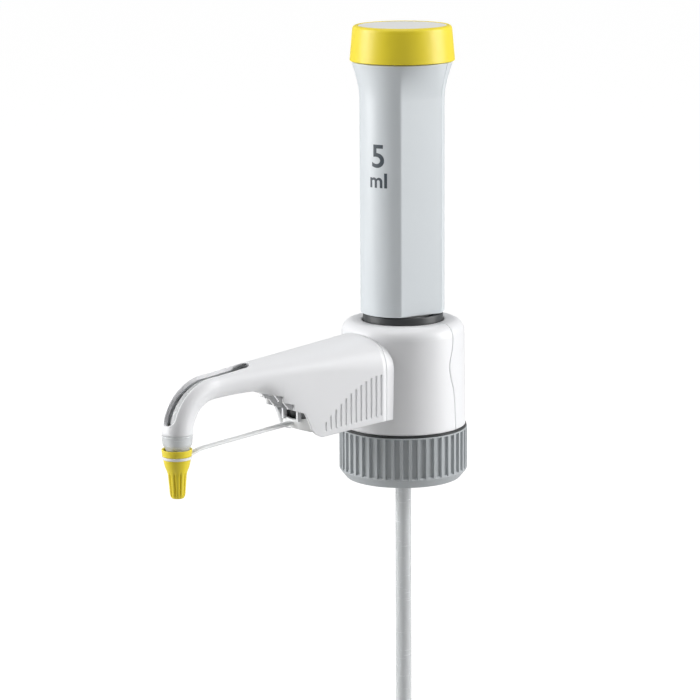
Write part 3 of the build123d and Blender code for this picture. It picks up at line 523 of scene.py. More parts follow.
def arm_size(x):
    """Half width, rise and middle height of the arm's vault at the distance x: it narrows by the power 1.25
    and sinks by a square law to the round pipe."""
    left = arm_left(x)
    width = ARM_PIPE + (ARM_HALF - ARM_PIPE) * left**ARM_TAPER
    rise = ARM_PIPE + (ARM_RISE - ARM_PIPE) * left**2
    return width, rise, ARM_TOP - ARM_SLOPE * (x - ARM_BACK) - rise


def quarter(t, wide, high, pull_a, pull_b):
    """Cubic quarter curve from (wide, 0) at t = 0 to (0, high) at t = 1."""
    u = 1 - t
    across = wide * (u**3 + 3 * u**2 * t + 3 * u * t**2 * pull_b)
    up = high * (3 * u**2 * t * pull_a + 3 * u * t**2 + t**3)
    return across, up


def solve(function, target, steps=34):
    """Parameter between 0 and 1 at which a rising function reaches the target, by halving the interval."""
    low = np.zeros_like(target)
    high = np.ones_like(target)
    for _ in range(steps):
        middle = (low + high) / 2
        below = function(middle) < target
        low, high = np.where(below, middle, low), np.where(below, high, middle)
    return (low + high) / 2


def arch_pull(x):
    """Pull of the arch's quarter curves at the distance x: fuller at the socket, round at the pipe."""
    return ROUND + (ARCH_ROUND - ROUND) * arm_left(x) ** 2


def hanging(x):
    """Depth and squareness of the arm's hanging sides at the distance x, which shorten by a smooth step."""
    share = smooth_step(np.clip((HANG_END - x) / (HANG_END - HANG_START), 0, 1))
    rise = arm_size(x)[1]
    return rise + (ARM_HANG - rise) * share, ROUND + (ARM_SQUARE - ROUND) * share


def socket_half_width(z):
    """Half width of the socket's arch at the height z: a full quarter curve above its springing line,
    nearly straight below."""
    width, rise, middle = arm_size(np.array(ARM_BACK))
    t = np.linspace(0, 1, 400)
    across, up = quarter(t, width, rise, ARCH_ROUND, ARCH_ROUND)
    above = np.interp(z - middle, up, across, right=0.0)
    below = width * (1 - 0.012 * np.clip((middle - z) / (middle - ARM_FOOT), 0, 1) ** 2)
    return np.where(z > middle, above, below)


def seam_x(z):
    """Where the wavy seam of the covers lies at the height z: straight below, drawn in at a waist, straight
    above."""
    height = [0, BODY_LOW, 36, 41, 45, 50, 54, 58.5, 62, 68]
    place = [7.0, 7.0, 6.2, 5.4, 3.9, 2.7, 3.5, 5.1, 5.2, 5.0]
    fine = np.linspace(BODY_LOW, BODY_TOP, 400)
    bell = np.exp(-np.linspace(-2, 2, 41) ** 2)
    padded = np.pad(np.interp(fine, height, place), 20, mode="edge")
    smooth = np.convolve(padded, bell / bell.sum(), mode="valid")
    return np.interp(z, fine, smooth)


def body_walls():
    """Outer and inner (r, z) lines of the body's wall: foot, cone, shoulder of quarter round and top, each
    rim closed by a quarter round."""
    edge, half = sizes().edge / MM, BODY_WALL / 2
    s = np.linspace(0, np.pi / 2, 5)
    z0, z1 = BODY_LOW, BODY_TOP
    side = np.concatenate([np.linspace(z0 + edge, ARM_FOOT, 10)[:-1], [ARM_FOOT - 0.01, ARM_FOOT + 0.01],
                           np.linspace(ARM_FOOT, z1 - BODY_SHOULDER, 70)[1:]])
    cone = BODY_FOOT_R + (BODY_HEAD_R - BODY_FOOT_R) * (side - z0) / (z1 - z0)
    turn = np.linspace(0, np.pi / 2, 25)[1:]
    shoulder_r = BODY_HEAD_R - BODY_SHOULDER * (1 - np.cos(turn))
    shoulder_z = z1 - BODY_SHOULDER * (1 - np.sin(turn))
    outer = np.concatenate([
        [[BODY_FOOT_R - half, z0]],
        np.stack([BODY_FOOT_R - edge + edge * np.sin(s), z0 + edge - edge * np.cos(s)], 1),
        np.stack([cone, side], 1)[1:], np.stack([shoulder_r, shoulder_z], 1),
        np.stack([BODY_MOUTH_R + edge - edge * np.sin(s), z1 - edge + edge * np.cos(s)], 1),
        [[BODY_MOUTH_R, z1 - half]],
    ])
    normal = np.gradient(outer, axis=0)
    normal = np.stack([-normal[:, 1], normal[:, 0]], 1)
    normal /= np.linalg.norm(normal, axis=1, keepdims=True) + 1e-9
    inner = outer + BODY_WALL * normal
    inner[:, 1] = np.clip(inner[:, 1], z0, z1 - BODY_WALL)
    inner[:7, 0], inner[:7, 1] = BODY_FOOT_R - BODY_WALL, np.linspace(z0, z0 + edge, 7)
    inner[-6:, 0], inner[-6:, 1] = BODY_MOUTH_R, z1 - BODY_WALL
    inner[0], inner[-1] = outer[0], outer[-1]
    return outer, inner


def body_shell(name, rear):
    """Front or rear cover: the body's wall lines turned about the axis between the two sides of the wavy
    seam. On the front cover the outer radius is the greater of the wall's and the socket's,
    min(w / |sin t|, x / |cos t|), with columns laid along the socket's edges."""
    outer, inner = body_walls()
    grids = []
    for side, line in ((1, outer), (-1, inner)):
        r, z = line[:, :1], line[:, 1:]
        cut = seam_x(z) + (sizes().seam / MM if rear else 0)
        start = np.arccos(cut / r)
        if rear:
            share = np.linspace(0, 1, 97)
            share = np.sort(np.concatenate([share, [0.0015, 0.004, 0.996, 0.9985]]))[None, :]
            t = start * (2 * share - 1)
        else:
            w = np.clip(socket_half_width(z), 3.0, None)
            meet = np.pi - np.arcsin(np.clip(w / r, 0, 0.98))
            corner = np.maximum(np.pi - np.arctan2(w, ARM_BACK + 0 * w), meet + 0.004)
            first = np.concatenate([np.linspace(0, 1, 90), [0.003, 0.007, 0.97, 0.985, 0.995]])
            first = np.sort(first)[None, :]
            ledge = np.linspace(0, 1, 9)[None, 1:]
            front = np.linspace(0, 1, 40)[None, 1:]
            t = np.concatenate([start + (meet - start) * first, meet + (corner - meet) * ledge,
                                corner + (np.pi - corner) * front], 1)
            t = np.concatenate([t, 2 * np.pi - t[:, -2::-1]], 1)
        r = r + 0 * t
        if side == 1 and not rear:
            w = socket_half_width(z)
            beside = w / np.maximum(np.abs(np.sin(t)), 1e-6)
            boss = np.minimum(beside, ARM_BACK / np.maximum(-np.cos(t), 1e-6))
            inside = (z > ARM_FOOT) & (w > 0.5) & (np.cos(t) < 0)
            r = np.where(inside, np.maximum(r, boss), r)
        turn = np.minimum(t - t[:, :1], t[:, -1:] - t) * r
        r = r - side * 0.22 * np.clip(1 - turn / 0.35, 0, 1) ** 2
        grids.append(around(r, t, z))
    return shell(name, grids[0], grids[1], 32)


GROOVES, GROOVE_FIRST, GROOVE_PITCH, GROOVE_HALF, GROOVE_DEPTH = 12, 2.7, 2.4, 0.475, 0.6
GROOVE_TOP, GROOVE_FALL, GROOVE_LIFT = 49.9, 17.0, 2.9
TIP_X, TIP_Z = (54.5, 56.2, 57.62, 59.22, 60.74), (26.9, 27.5, 28.3, 30.4, 34.2)


def underside(x):
    """Height of the arm cover's lower edge at the distance x: a falling line to the tip, a concave sweep,
    two steps and a run to the pipe."""
    place = [0, 15.9, *TIP_X, STEP_END[0]]
    height = [30.9, 30.9, *TIP_Z, STEP_END[1]]
    for x_step, upper, lower in reversed(STEPS):
        place += [x_step, x_step + 0.1]
        height += [lower, upper]
    return np.interp(x, place + [83.0, 100.4], height + [48.4, 42.8])


def arm_stations():
    """Distances along the arm's line, with four at each groove's sides and a fine row at the slot's round
    ends."""
    centres = ARM_BACK + GROOVE_FIRST + GROOVE_PITCH * np.arange(GROOVES)
    edges = (centres[:, None] + np.array([-1, -0.8, 0.8, 1]) * GROOVE_HALF).ravel()
    bend = np.pi / 2 * BEND_R
    ends = SLOT_HALF * (1 - np.cos(np.linspace(0, np.pi / 2, 9)))
    slot_end = BEND_X + math.radians(SLOT_TO) * BEND_R
    corners = [x + d for x, _, _ in STEPS for d in (0, 0.1)] + [*TIP_X, STEP_END[0]]
    plain = np.concatenate([np.linspace(ARM_BACK + 0.25, 60, 22), np.linspace(60, BEND_X, 60),
                            BEND_X + np.linspace(0, bend, 34)])
    return np.unique(np.round(np.concatenate(
        [plain, edges, SLOT_FROM + ends, slot_end - ends * BEND_R / (BEND_R + ARM_END_R), corners]), 3))


def arm_surface():
    """Outer face of the arm cover as a grid: stations along the line of the arm, and across it the lower
    edge, springing line, slot's side and crown of each half as fixed columns. The cut-out grooves lie at a
    constant depth, and the slot's edge dips by a square law. Round the bend,
    (x, z) = c + (R + n)(-sin a, cos a), and the pipe widens towards the nozzle."""
    s = arm_stations()[:, None]
    x = np.minimum(s, BEND_X)
    on_bend = s > BEND_X
    angle = np.clip((s - BEND_X) / BEND_R, 0, np.pi / 2)
    pipe = ARM_PIPE + (ARM_END_R - ARM_PIPE) * angle / (np.pi / 2)
    width, rise, middle = arm_size(x)
    depth, square = hanging(x)
    pull = arch_pull(x)
    width, rise, depth = (np.where(on_bend, pipe, value) for value in (width, rise, depth))
    slot_end = BEND_X + math.radians(SLOT_TO) * BEND_R
    from_start, from_end = s - SLOT_FROM, (slot_end - s) * (BEND_R + ARM_END_R) / BEND_R
    near = np.clip(np.minimum(from_start, from_end), 0, SLOT_HALF)
    half = np.maximum(np.sqrt(np.clip(SLOT_HALF**2 - (SLOT_HALF - near) ** 2, 0, None)), 0.02)
    edge = np.clip((middle - underside(x)) / depth, 0, 1)
    edge = np.where(s > BEND_X - 15, 1.0, edge)
    low = solve(lambda t: quarter(t, width, 1.0, square, square)[1], edge)
    below = low * (1 - np.linspace(0, 1, 61)[None, :])
    y_low, z_low = quarter(below, width, -depth, square, square)
    slot_at = 1 - solve(lambda u: quarter(1 - u, width, rise, pull, pull)[0], half)
    share = np.concatenate([np.linspace(0, 0.85, 27), [0.9, 0.93, 0.96, 0.98, 1.0]])[None, 1:]
    y_up, z_up = quarter(slot_at * share, width, rise, pull, pull)
    dip = np.clip(1 - np.hypot(y_up - y_up[:, -1:], z_up - z_up[:, -1:]) / SLOT_DIP_WIDTH, 0, 1) ** 2
    z_up = z_up - SLOT_DIP * dip * np.clip(half / 0.5 - 0.1, 0, 1)
    crown = slot_at + (1 - slot_at) * np.linspace(0, 1, 4)[None, 1:]
    y_top, z_top = quarter(crown, width, rise, pull, pull)
    y = np.concatenate([y_low, y_up, y_top], 1)
    n = np.concatenate([z_low, z_up, z_top], 1)
    z = middle + n
    # grooves
    order = np.clip(np.round((x - ARM_BACK - GROOVE_FIRST) / GROOVE_PITCH), 0, GROOVES - 1)
    centre = ARM_BACK + GROOVE_FIRST + GROOVE_PITCH * order
    high_z = GROOVE_TOP - GROOVE_FALL * (order / (GROOVES - 1)) ** 1.6
    low_z = ARM_FOOT + GROOVE_LIFT - 0.125 * (centre - ARM_BACK)
    cut = np.clip((GROOVE_HALF - np.abs(s - centre)) / (0.2 * GROOVE_HALF), 0, 1)
    cut = cut * np.clip((z - low_z) / 0.3 + 0.5, 0, 1) * np.clip((high_z - z) / 0.3 + 0.5, 0, 1)
    floor = np.minimum(y, arm_size(centre)[0] - GROOVE_DEPTH)
    y = y + (floor - y) * cut
    # the middle of the back edge follows the body
    back = np.sqrt(np.clip((BODY_HEAD_R + 0.45) ** 2 - y**2, 0, None))
    shift = np.clip(back - s[0], 0, None) * np.clip((ARM_BACK_BLEND - s) / (ARM_BACK_BLEND - s[0]), 0, 1)
    px = np.where(on_bend, -BEND_X - (BEND_R + n) * np.sin(angle), -(x + shift))
    pz = np.where(on_bend, BEND_Z + (BEND_R + n) * np.cos(angle), z)
    right = np.stack([px, -y, pz], -1)
    left = np.stack([px, y, pz], -1)
    grid = np.concatenate([right, left[:, -2::-1]], 1)
    quads = grid_quads(*grid.shape[:2])
    columns = grid.shape[1] // 2
    rows = s[:, 0]
    open_rows = (rows[:-1] >= SLOT_FROM - 1e-3) & (rows[1:] <= slot_end + 1e-3)
    keep = np.ones(quads.shape[:2], bool)
    keep[open_rows, columns - 3:columns + 3] = False
    return grid, quads[keep]


def four_rows(*corners):
    """Rows of four corner points, each corner given as its x, y and z along the rows."""
    return np.stack([np.concatenate(np.broadcast_arrays(*corner), 1) for corner in corners], 1)


def base_plate():
    """Plate between the arm's walls as rows of four points along it, and its upright front lip as rows of
    four points across it: the lip bulges forward by x = b - y^2 / r, and its edge dips in the middle by
    z = t + y^2 / e."""
    x = np.array([28.0, 33, 38, 44, 49, 53, 55, 56.5, 58, 59, 60, 60.7, 61.3])[:, None]
    low = np.interp(x, [28, 38, 49, 53, 56, 59, 61.3], [30.6, 29.4, 28.0, 28.1, 28.6, 29.8, 30.3])
    half = np.minimum(arm_size(x)[0] - ARM_WALL - 0.2, np.sqrt(LIP_BULGE * (LIP_X - x)))
    high = low + PLATE_T
    plate = four_rows((-x, -half, low), (-x, half, low), (-x, half, high), (-x, -half, high))
    y = np.linspace(-LIP_HALF, LIP_HALF, 25)[:, None]
    front, foot, edge = y**2 / LIP_BULGE - LIP_X, LIP_FOOT - y**2 / LIP_SAG, LIP_EDGE + y**2 / LIP_DIP
    back = front + LIP_T
    return plate, four_rows((front, y, foot), (front, y, edge), (back, y, edge), (back, y, foot))


def bar_piece(name, grid):
    """Closed bar through rows of four points, with a face over each end."""
    last = 4 * (len(grid) - 1)
    quads = grid_quads(len(grid), 4, False, True).reshape(-1, 4)
    quads = np.concatenate([quads, [[0, 1, 2, 3], [last, last + 1, last + 2, last + 3]]])
    return mesh_piece(name, grid, quads, 30)


def arm_ribs():
    """Two upright plates beside the tube with the steps as their lower edge: columns between that edge and
    the vault, at four faces of each plate."""
    x = np.array([60.6, 61.5, 62.5, 62.52, 65, 67.5, 67.52, 70, 72.4, 72.42, 74.5, 77.0])[:, None]
    foot = np.interp(x, [60.6, 62.5, 62.51], [33.4, 33.4, 37.7]) * (x < 62.51) + underside(x) * (x >= 62.51)
    roof = arm_size(x)[2] + 0.8
    outside = RIB_Y + RIB_T
    corners = ((outside, foot), (RIB_Y, foot), (RIB_Y, roof), (outside, roof))
    return [four_rows(*[(-x, side * y, z) for y, z in corners]) for side in (1, -1)]


# ---------------------------------------------------------------------------- operators
class DISPENSER_OT_finishes(bpy.types.Operator):
    """Makes the finishes and gives one to each sub-part"""

    bl_idname = "dispenser.finishes"
    bl_label = "Finishes"

    def execute(self, context):
        look = finishes()
        moulded_group()
        turned_group()
        for slot, colour, roughness, variation in (
                ("white_body", look.white, 0.36, 0.03), ("handle_grey", look.handle, 0.38, 0.03),
                ("yellow", look.yellow, 0.40, 0.05), ("light_disc", (0.80, 0.81, 0.80), 0.40, 0.03),
                ("grey_nut", look.nut, 0.48, 0.06), ("black_ring", (0.012, 0.014, 0.015), 0.45, 0.02),
                # dark_cradle is near-black as painted shade: it darkens the tube cradle to stand for the
                # shade in the hollow under the arm.
                ("dark_ring", look.dark, 0.42, 0.02), ("dark_cradle", (0.022, 0.025, 0.027), 0.5, 0.02),
                ("strap_white", (0.80, 0.81, 0.81), 0.45, 0.03), ("seal", (0.62, 0.62, 0.60), 0.6, 0.05),
                ("o_ring", (0.015, 0.015, 0.015), 0.5, 0.02), ("ptfe", (0.80, 0.80, 0.79), 0.5, 0.04),
                ("print", look.print, 0.5, 0.02)):
            moulded_material("finish_" + slot, colour, roughness, variation)
        turned_material("finish_natural", (0.74, 0.74, 0.71), 0.42)
        turned_material("finish_ceramic", (0.82, 0.80, 0.76), 0.12, strength=0.03)
        turned_material("finish_steel", (0.60, 0.61, 0.62), 0.25, Metallic=1.0)
        turned_material("finish_spring_metal", (0.66, 0.66, 0.64), 0.28, Metallic=1.0)
        turned_material("finish_glass", (0.93, 0.97, 0.98), 0.02, strength=0.02,
                        Transmission_Weight=0.95, IOR=1.47)
        turned_material("finish_tube_clear", (0.86, 0.88, 0.89), 0.22, strength=0.05,
                        Transmission_Weight=0.45, IOR=1.35)
        for entry in frame["record"]["subparts"]:
            node = NODES[entry["node"]]
            node.data.materials.clear()
            node.data.materials.append(named(entry["material_slot"]))
        return {"FINISHED"}


class DISPENSER_OT_mount_nut(bpy.types.Operator):
    """Ribbed nut with its bottle thread"""

    bl_idname = "dispenser.mount_nut"
    bl_label = "Mount nut"

    def execute(self, context):
        """Outer radius R - d g(t) between the chamfer and the rim, g a row of square notches; inner radius
        b - h c(phase) with phase = z / pitch - t / 2 pi, c a rounded ridge that fades at both ends."""
        size = sizes()
        ribs, depth = size.nut_ribs, size.groove_depth / MM
        steps = np.array([0, 0.16, 0.20, 0.24, 0.5, 0.76, 0.80, 0.84])
        t = ((np.arange(ribs)[:, None] + steps) / ribs * 2 * np.pi).ravel()[:, None]
        notch = np.array([0, 0, 0.5, 1, 1, 1, 0.5, 0])[None, :].repeat(ribs, 0).ravel()[:, None]
        z_out = np.concatenate([[0.3], NUT_FOOT_H + np.array([-0.3, 0, 0.3, 0.5, 1.1]),
                                NUT_TOP - np.array([1.0, 0.55, 0.5, 0.3, 0.08, 0])])
        r_out = np.concatenate([[NUT_FOOT_R + 0.25],
                                NUT_R - np.array([0.25, 0.06, 0, 0, 0, 0, 0, 0, 0, 0.08, 0.4])])
        cut = np.array([0, 0, 0, 0, 0.15, 1, 1, 1, 0, 0, 0, 0])
        radius = r_out[None, :] - depth * cut * notch
        outer = around(radius, t, z_out)
        z_in = np.concatenate([[NUT_TOP, NUT_SHELF, NUT_SHELF - 0.01],
                               np.linspace(NUT_SHELF - 1.5, 0.4, 90)])
        bore = np.where(z_in > NUT_SHELF - 0.005, NUT_NECK_R, NUT_BORE_R)
        phase = (z_in / (size.thread_pitch / MM) - t / (2 * np.pi)) % 1.0
        ridge = np.clip(1.6 - 6.4 * np.abs(phase - 0.5), 0, 1)
        fade = np.clip((z_in - 0.6) / 1.2, 0, 1) * np.clip((11.3 - z_in) / 1.2, 0, 1)
        radius = bore - size.thread_depth / MM * ridge * fade
        inner = around(radius, t, z_in)
        foot = np.array([[NUT_BORE_R + 0.15, 0.08], [NUT_BORE_R + 0.4, 0],
                         [NUT_FOOT_R - 0.2, 0], [NUT_FOOT_R, 0.06]])
        grid = np.concatenate([outer, inner, around(foot[:, 0], t, foot[:, 1])], 1)
        piece = mesh_piece("nut_with_thread", grid, grid_quads(*grid.shape[:2], True, True), 30)
        finish_piece(piece, "bottle_mount", "grey_nut", "mount_nut")
        return {"FINISHED"}


class DISPENSER_OT_body_covers(bpy.types.Operator):
    """Front and rear cover of the valve block, with the arched socket and the wavy seam"""

    bl_idname = "dispenser.body_covers"
    bl_label = "Body covers"

    def execute(self, context):
        for side, rear in (("front", False), ("rear", True)):
            cover = body_shell(f"{side}_cover_moulding", rear)
            finish_piece(cover, "valve_block", "white_body", f"body_{side}_cover")
        return {"FINISHED"}


class DISPENSER_OT_safety_ring(bpy.types.Operator):
    """Dark ring under the handle, with a deep well round the sleeve"""

    bl_idname = "dispenser.safety_ring"
    bl_label = "Safety ring"

    def execute(self, context):
        """Lathe profile with a rounded rim round a deep well."""
        well, seat, step = RING_TOP - RING_WELL, RING_LOW + RING_SEAT_H, RING_LOW + RING_STEP_H
        corners = [(RING_FOOT_R, RING_LOW), (RING_R, RING_LOW), (RING_R, RING_TOP),
                   (RING_MOUTH_R, RING_TOP), (RING_MOUTH_R, well), (RING_BORE_R, well),
                   (RING_BORE_R, seat), (RING_SEAT_R, seat), (RING_SEAT_R, step), (RING_FOOT_R, step)]
        profile = rounded(corners, [0.1, 0.1, 0.5, 0.3, 0.3, 0.1, 0.1, 0.1, 0.1, 0.1])
        ring = lathe("ring_moulding", profile)
        finish_piece(ring, "valve_block", "dark_ring", "safety_ring")
        return {"FINISHED"}


class DISPENSER_OT_handle(bpy.types.Operator):
    """Both shells of the handle"""

    bl_idname = "dispenser.handle"
    bl_label = "Handle"

    def execute(self, context):
        for side, rear in (("front", False), ("rear", True)):
            half = handle_shell(f"handle_{side}_moulding", rear)
            finish_piece(half, "handle", "handle_grey", f"handle_{side}_shell")
        return {"FINISHED"}


class DISPENSER_OT_top_cap(bpy.types.Operator):
    """Yellow cap with its inset disc"""

    bl_idname = "dispenser.top_cap"
    bl_label = "Top cap"

    def execute(self, context):
        """Lathe profiles with rounded corners."""
        floor = CAP_TOP - CAP_DISC_SINK
        under = floor - CAP_FLOOR
        corners = [(CAP_RECESS_R, CAP_TOP), (CAP_TOP_R, CAP_TOP), (CAP_R, CAP_LOW), (CAP_R - 2.3, CAP_LOW),
                   (CAP_TOP_R - CAP_FLOOR, under), (CAP_BOSS_R, under), (CAP_BOSS_R, floor),
                   (CAP_RECESS_R, floor)]
        profile = rounded(corners, [0.25, 1.7, 0.35, 0.2, 0.2, 0.1, 0.1, 0.1], 8)
        cap = lathe("cap_moulding", profile, steps=200, angle=30)
        finish_piece(cap, "handle", "yellow", "top_cap")
        disc_r = CAP_RECESS_R - 0.13
        stem = CAP_BOSS_R - 0.02
        corners = [(0.0, CAP_TOP - 0.18), (disc_r, CAP_TOP - 0.2), (disc_r, floor), (stem, floor),
                   (stem, under), (5.5, under), (5.5, floor), (0.0, floor)]
        profile = rounded(corners, [0.0, 0.25, 0.1, 0.05, 0.1, 0.1, 0.05, 0.0], 6)
        disc = lathe("disc_moulding", profile, steps=160, angle=30)
        finish_piece(disc, "handle", "light_disc", "calibration_cover")
        return {"FINISHED"}


class DISPENSER_OT_capacity_print(bpy.types.Operator):
    """Printed capacity on the handle's front face"""

    bl_idname = "dispenser.capacity_print"
    bl_label = "Capacity print"

    def execute(self, context):
        """Flat letters cut into small faces, then each point (a, b) laid on the front face at y = -a, z = b
        and the face's own x, raised by a hair."""
        for name, words, height, centre_z in (("print_number", "5", NUMBER_SIZE, NUMBER_Z),
                                              ("print_unit", "ml", UNIT_SIZE, UNIT_Z)):
            curve = bpy.data.curves.new(name, "FONT")
            curve.body = words
            curve.align_x = "CENTER"
            curve.size = height * MM
            curve.offset = 0.00018
            letters = bpy.data.objects.new(name + "_flat", curve)
            bpy.context.scene.collection.objects.link(letters)
            bpy.context.view_layer.update()
            flat = bpy.data.meshes.new_from_object(letters)
            bpy.data.objects.remove(letters)
            work = bmesh.new()
            work.from_mesh(flat)
            bmesh.ops.remove_doubles(work, verts=work.verts, dist=1e-6)
            bmesh.ops.triangulate(work, faces=work.faces)
            bmesh.ops.subdivide_edges(work, edges=work.edges, cuts=3, use_grid_fill=True)
            work.to_mesh(flat)
            work.free()
            co = np.zeros(len(flat.vertices) * 3)
            flat.vertices.foreach_get("co", co)
            co = co.reshape(-1, 3) / MM
            across, up, _ = (co - (co.max(0) + co.min(0)) / 2).T
            y, z = -across - PRINT_ASIDE, centre_z + up
            t = np.pi - np.arctan2(y, np.full_like(y, HANDLE_FRONT))
            for _ in range(6):
                r = handle_radius(t, z, 0.0)
                t = np.pi - np.arcsin(np.clip(y / r, -1, 1))
            r = handle_radius(t, z, 0.0) + 0.03
            co = around(r, t, z) * MM
            flat.vertices.foreach_set("co", co.ravel())
            flat.update()
            piece = bpy.data.objects.new(name, flat)
            bpy.context.scene.collection.objects.link(piece)
            finish_piece(piece, "handle", "handle_grey", finish="print")
        return {"FINISHED"}


class DISPENSER_OT_arm_cover(bpy.types.Operator):
    """Hollow arm cover with grooves, slot and stepped underside"""

    bl_idname = "dispenser.arm_cover"
    bl_label = "Arm cover"

    def execute(self, context):
        grid, quads = arm_surface()
        piece = mesh_piece("arm_moulding", grid, quads, 35)
        wall = piece.modifiers.new("wall", "SOLIDIFY")
        wall.thickness = ARM_WALL * MM
        wall.offset = -1.0
        wall.use_even_offset = True
        finish_piece(piece, "valve_block", "white_body", "arm_cover")
        for number, grid in enumerate(arm_ribs()):
            rib = bar_piece(f"arm_rib_{number}", grid)
            finish_piece(rib, "valve_block", "white_body")
        return {"FINISHED"}


class DISPENSER_OT_base_plate(bpy.types.Operator):
    """Plate that closes the arm from below, and behind its lip a near-black cradle foot, painted shade for
    the dark hollow under the arm
    """

    bl_idname = "dispenser.base_plate"
    bl_label = "Base plate"

    def execute(self, context):
        plate, lip = (bar_piece(f"base_plate_{number}", grid) for number, grid in enumerate(base_plate()))
        finish_piece(plate, "valve_block", "strap_white", "arm_base_plate")
        finish_piece(lip, "valve_block", "strap_white")
        # Near-black box between the ribs: painted shade where the hollow under the arm is dark.
        x = np.array([SHADE_CRADLE_FRONT, SHADE_CRADLE_FRONT - 0.4, SHADE_CRADLE_BACK])[:, None]
        low, high = SHADE_CRADLE_Z
        corners = ((-SHADE_CRADLE_HALF, low), (SHADE_CRADLE_HALF, low), (SHADE_CRADLE_HALF, high), (-SHADE_CRADLE_HALF, high))
        foot = bar_piece("cradle_foot_painted_shade", four_rows(*[(-x, y, z) for y, z in corners]))
        finish_piece(foot, "valve_block", "dark_cradle")
        return {"FINISHED"}


class DISPENSER_OT_nozzle_collar(bpy.types.Operator):
    """Translucent collar between the arm's end and the screw cap"""

    bl_idname = "dispenser.nozzle_collar"
    bl_label = "Nozzle collar"

    def execute(self, context):
        """Lathe profile with rounded edges, closed round the tube."""
        low, top = SCREW_TOP - SCREW_DROP - 1.2, BEND_Z - 0.1
        corners = [(TUBE_R + 0.4, low), (COLLAR_R - 1.6, low), (COLLAR_R - 1.3, low + 1.4),
                   (COLLAR_R - 0.2, low + 3.4), (COLLAR_R, top), (TUBE_R + 0.4, top)]
        profile = rounded(corners, [0.1, 0.2, 0.6, 0.8, 0.3, 0.1])
        middle = (NOZZLE + ARM_END) / 2
        collar = lathe("collar_moulding", profile, x=-middle)
        finish_piece(collar, "valve_block", "tube_clear", "nozzle_collar")
        return {"FINISHED"}


class DISPENSER_OT_screw_cap(bpy.types.Operator):
    """Yellow screw cap with its fluted grip"""

    bl_idname = "dispenser.screw_cap"
    bl_label = "Screw cap"

    def execute(self, context):
        """Lathe whose outer radius is drawn in by ten flutes, d max(0, cos 10 t)^2, along the grip."""
        top = SCREW_TOP - SCREW_DROP
        low = top - SCREW_LENGTH
        groove_top = top - SCREW_RIM_H
        groove_low = groove_top - SCREW_GROOVE_H
        cone_low = groove_low - SCREW_CONE_H
        cup_low, bore_low = top - SCREW_CUP_H, top - SCREW_BORE_H
        corners = [(0, low), (2.55, low), (SCREW_END_R, low + 1.4), (SCREW_GRIP_R, cone_low),
                   (SCREW_SHOULDER_R, cone_low + 2.3), (SCREW_CONE_R, groove_low),
                   (SCREW_GROOVE_R, groove_low), (SCREW_GROOVE_R, groove_top),
                   (SCREW_RIM_R - 0.3, groove_top), (SCREW_RIM_R, top), (SCREW_CUP_R, top),
                   (SCREW_CUP_R, cup_low), (SCREW_BORE_R, cup_low), (SCREW_BORE_R, bore_low), (0, bore_low)]
        cuts = [0.0, 0.4, 0.6, 1.2, 1.2, 0.15, 0.05, 0.05, 0.15, 0.25, 0.25, 0.1, 0.1, 0.1, 0.0]
        r, z = rounded(corners, cuts, 5).T
        extra = np.linspace(low + 2.2, cone_low - 1.5, 14)
        spot = int(np.argmax((z > low + 2.1) & (r > 3.0)))
        r = np.insert(r, spot, np.interp(extra, [low + 1.4, cone_low], [SCREW_END_R, SCREW_GRIP_R]))
        z = np.insert(z, spot, extra)
        t = np.linspace(0, 2 * np.pi, 200, endpoint=False)[:, None]
        fade = np.clip((cone_low + 0.8 - z) / 1.6, 0, 1) * np.clip((z - low - 0.3) / 1.5, 0, 1) * (r > 2.9)
        radius = r - FLUTE_DEPTH * fade * np.maximum(0, np.cos(FLUTES * t)) ** 2
        grid = around(radius, t, z, -NOZZLE)
        piece = mesh_piece("screw_cap_moulding", grid, grid_quads(*grid.shape[:2], True, True), 35)
        finish_piece(piece, "nozzle_cap", "yellow", "screw_cap")
        return {"FINISHED"}


class DISPENSER_OT_cap_strap(bpy.types.Operator):
    """Elastic strap with its eye round the screw cap"""

    bl_idname = "dispenser.cap_strap"
    bl_label = "Cap strap"

    def execute(self, context):
        """Rounded rectangle |a/w|^4 + |b/h|^4 = 1 carried along a line that turns down to the eye by a
        smooth step, and a ring of the same section for the eye."""
        mid = SCREW_TOP - SCREW_DROP - SCREW_RIM_H - SCREW_GROOVE_H / 2
        s = np.linspace(0, 1, 70)[:, None]
        x = -STRAP_X - STRAP_LENGTH * s
        turn = np.clip((-x - STRAP_TURN_X) / STRAP_TURN_LENGTH, 0, 1)
        straight = STRAP_Z - STRAP_SLOPE * STRAP_LENGTH * s
        centre = straight + (mid - STRAP_Z + STRAP_SLOPE * STRAP_LENGTH) * smooth_step(turn)
        a = np.linspace(0, 2 * np.pi, 28, endpoint=False)[None, :]
        side, rise = (np.sign(v) * np.abs(v) ** 0.5 for v in (np.cos(a), np.sin(a)))
        wide = 1.6 - 0.25 * np.sin(np.pi * s)
        thick = STRAP_T + (EYE_T - STRAP_T) * s
        grid = np.stack([x + 0 * a, wide * side, centre + thick * rise], -1)
        strip = grid_quads(70, 28, False, True).reshape(-1, 4)
        ends = np.array([[i, i + 1, 26 - i, 27 - i] for i in range(13)])
        strip = np.concatenate([strip, ends, ends + 69 * 28])
        t = np.linspace(0, 2 * np.pi, 96, endpoint=False)[:, None]
        ring = around(EYE_R + EYE_HALF * side, t, mid + EYE_T * rise, -NOZZLE)
        points = np.concatenate([grid.reshape(-1, 3), ring.reshape(-1, 3)])
        quads = np.concatenate([strip, grid_quads(96, 28, True, True).reshape(-1, 4) + 70 * 28])
        piece = mesh_piece("strap_moulding", points, quads, 40)
        finish_piece(piece, None, "strap_white", "cap_strap", "strap_eye")
        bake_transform(piece)
        return {"FINISHED"}


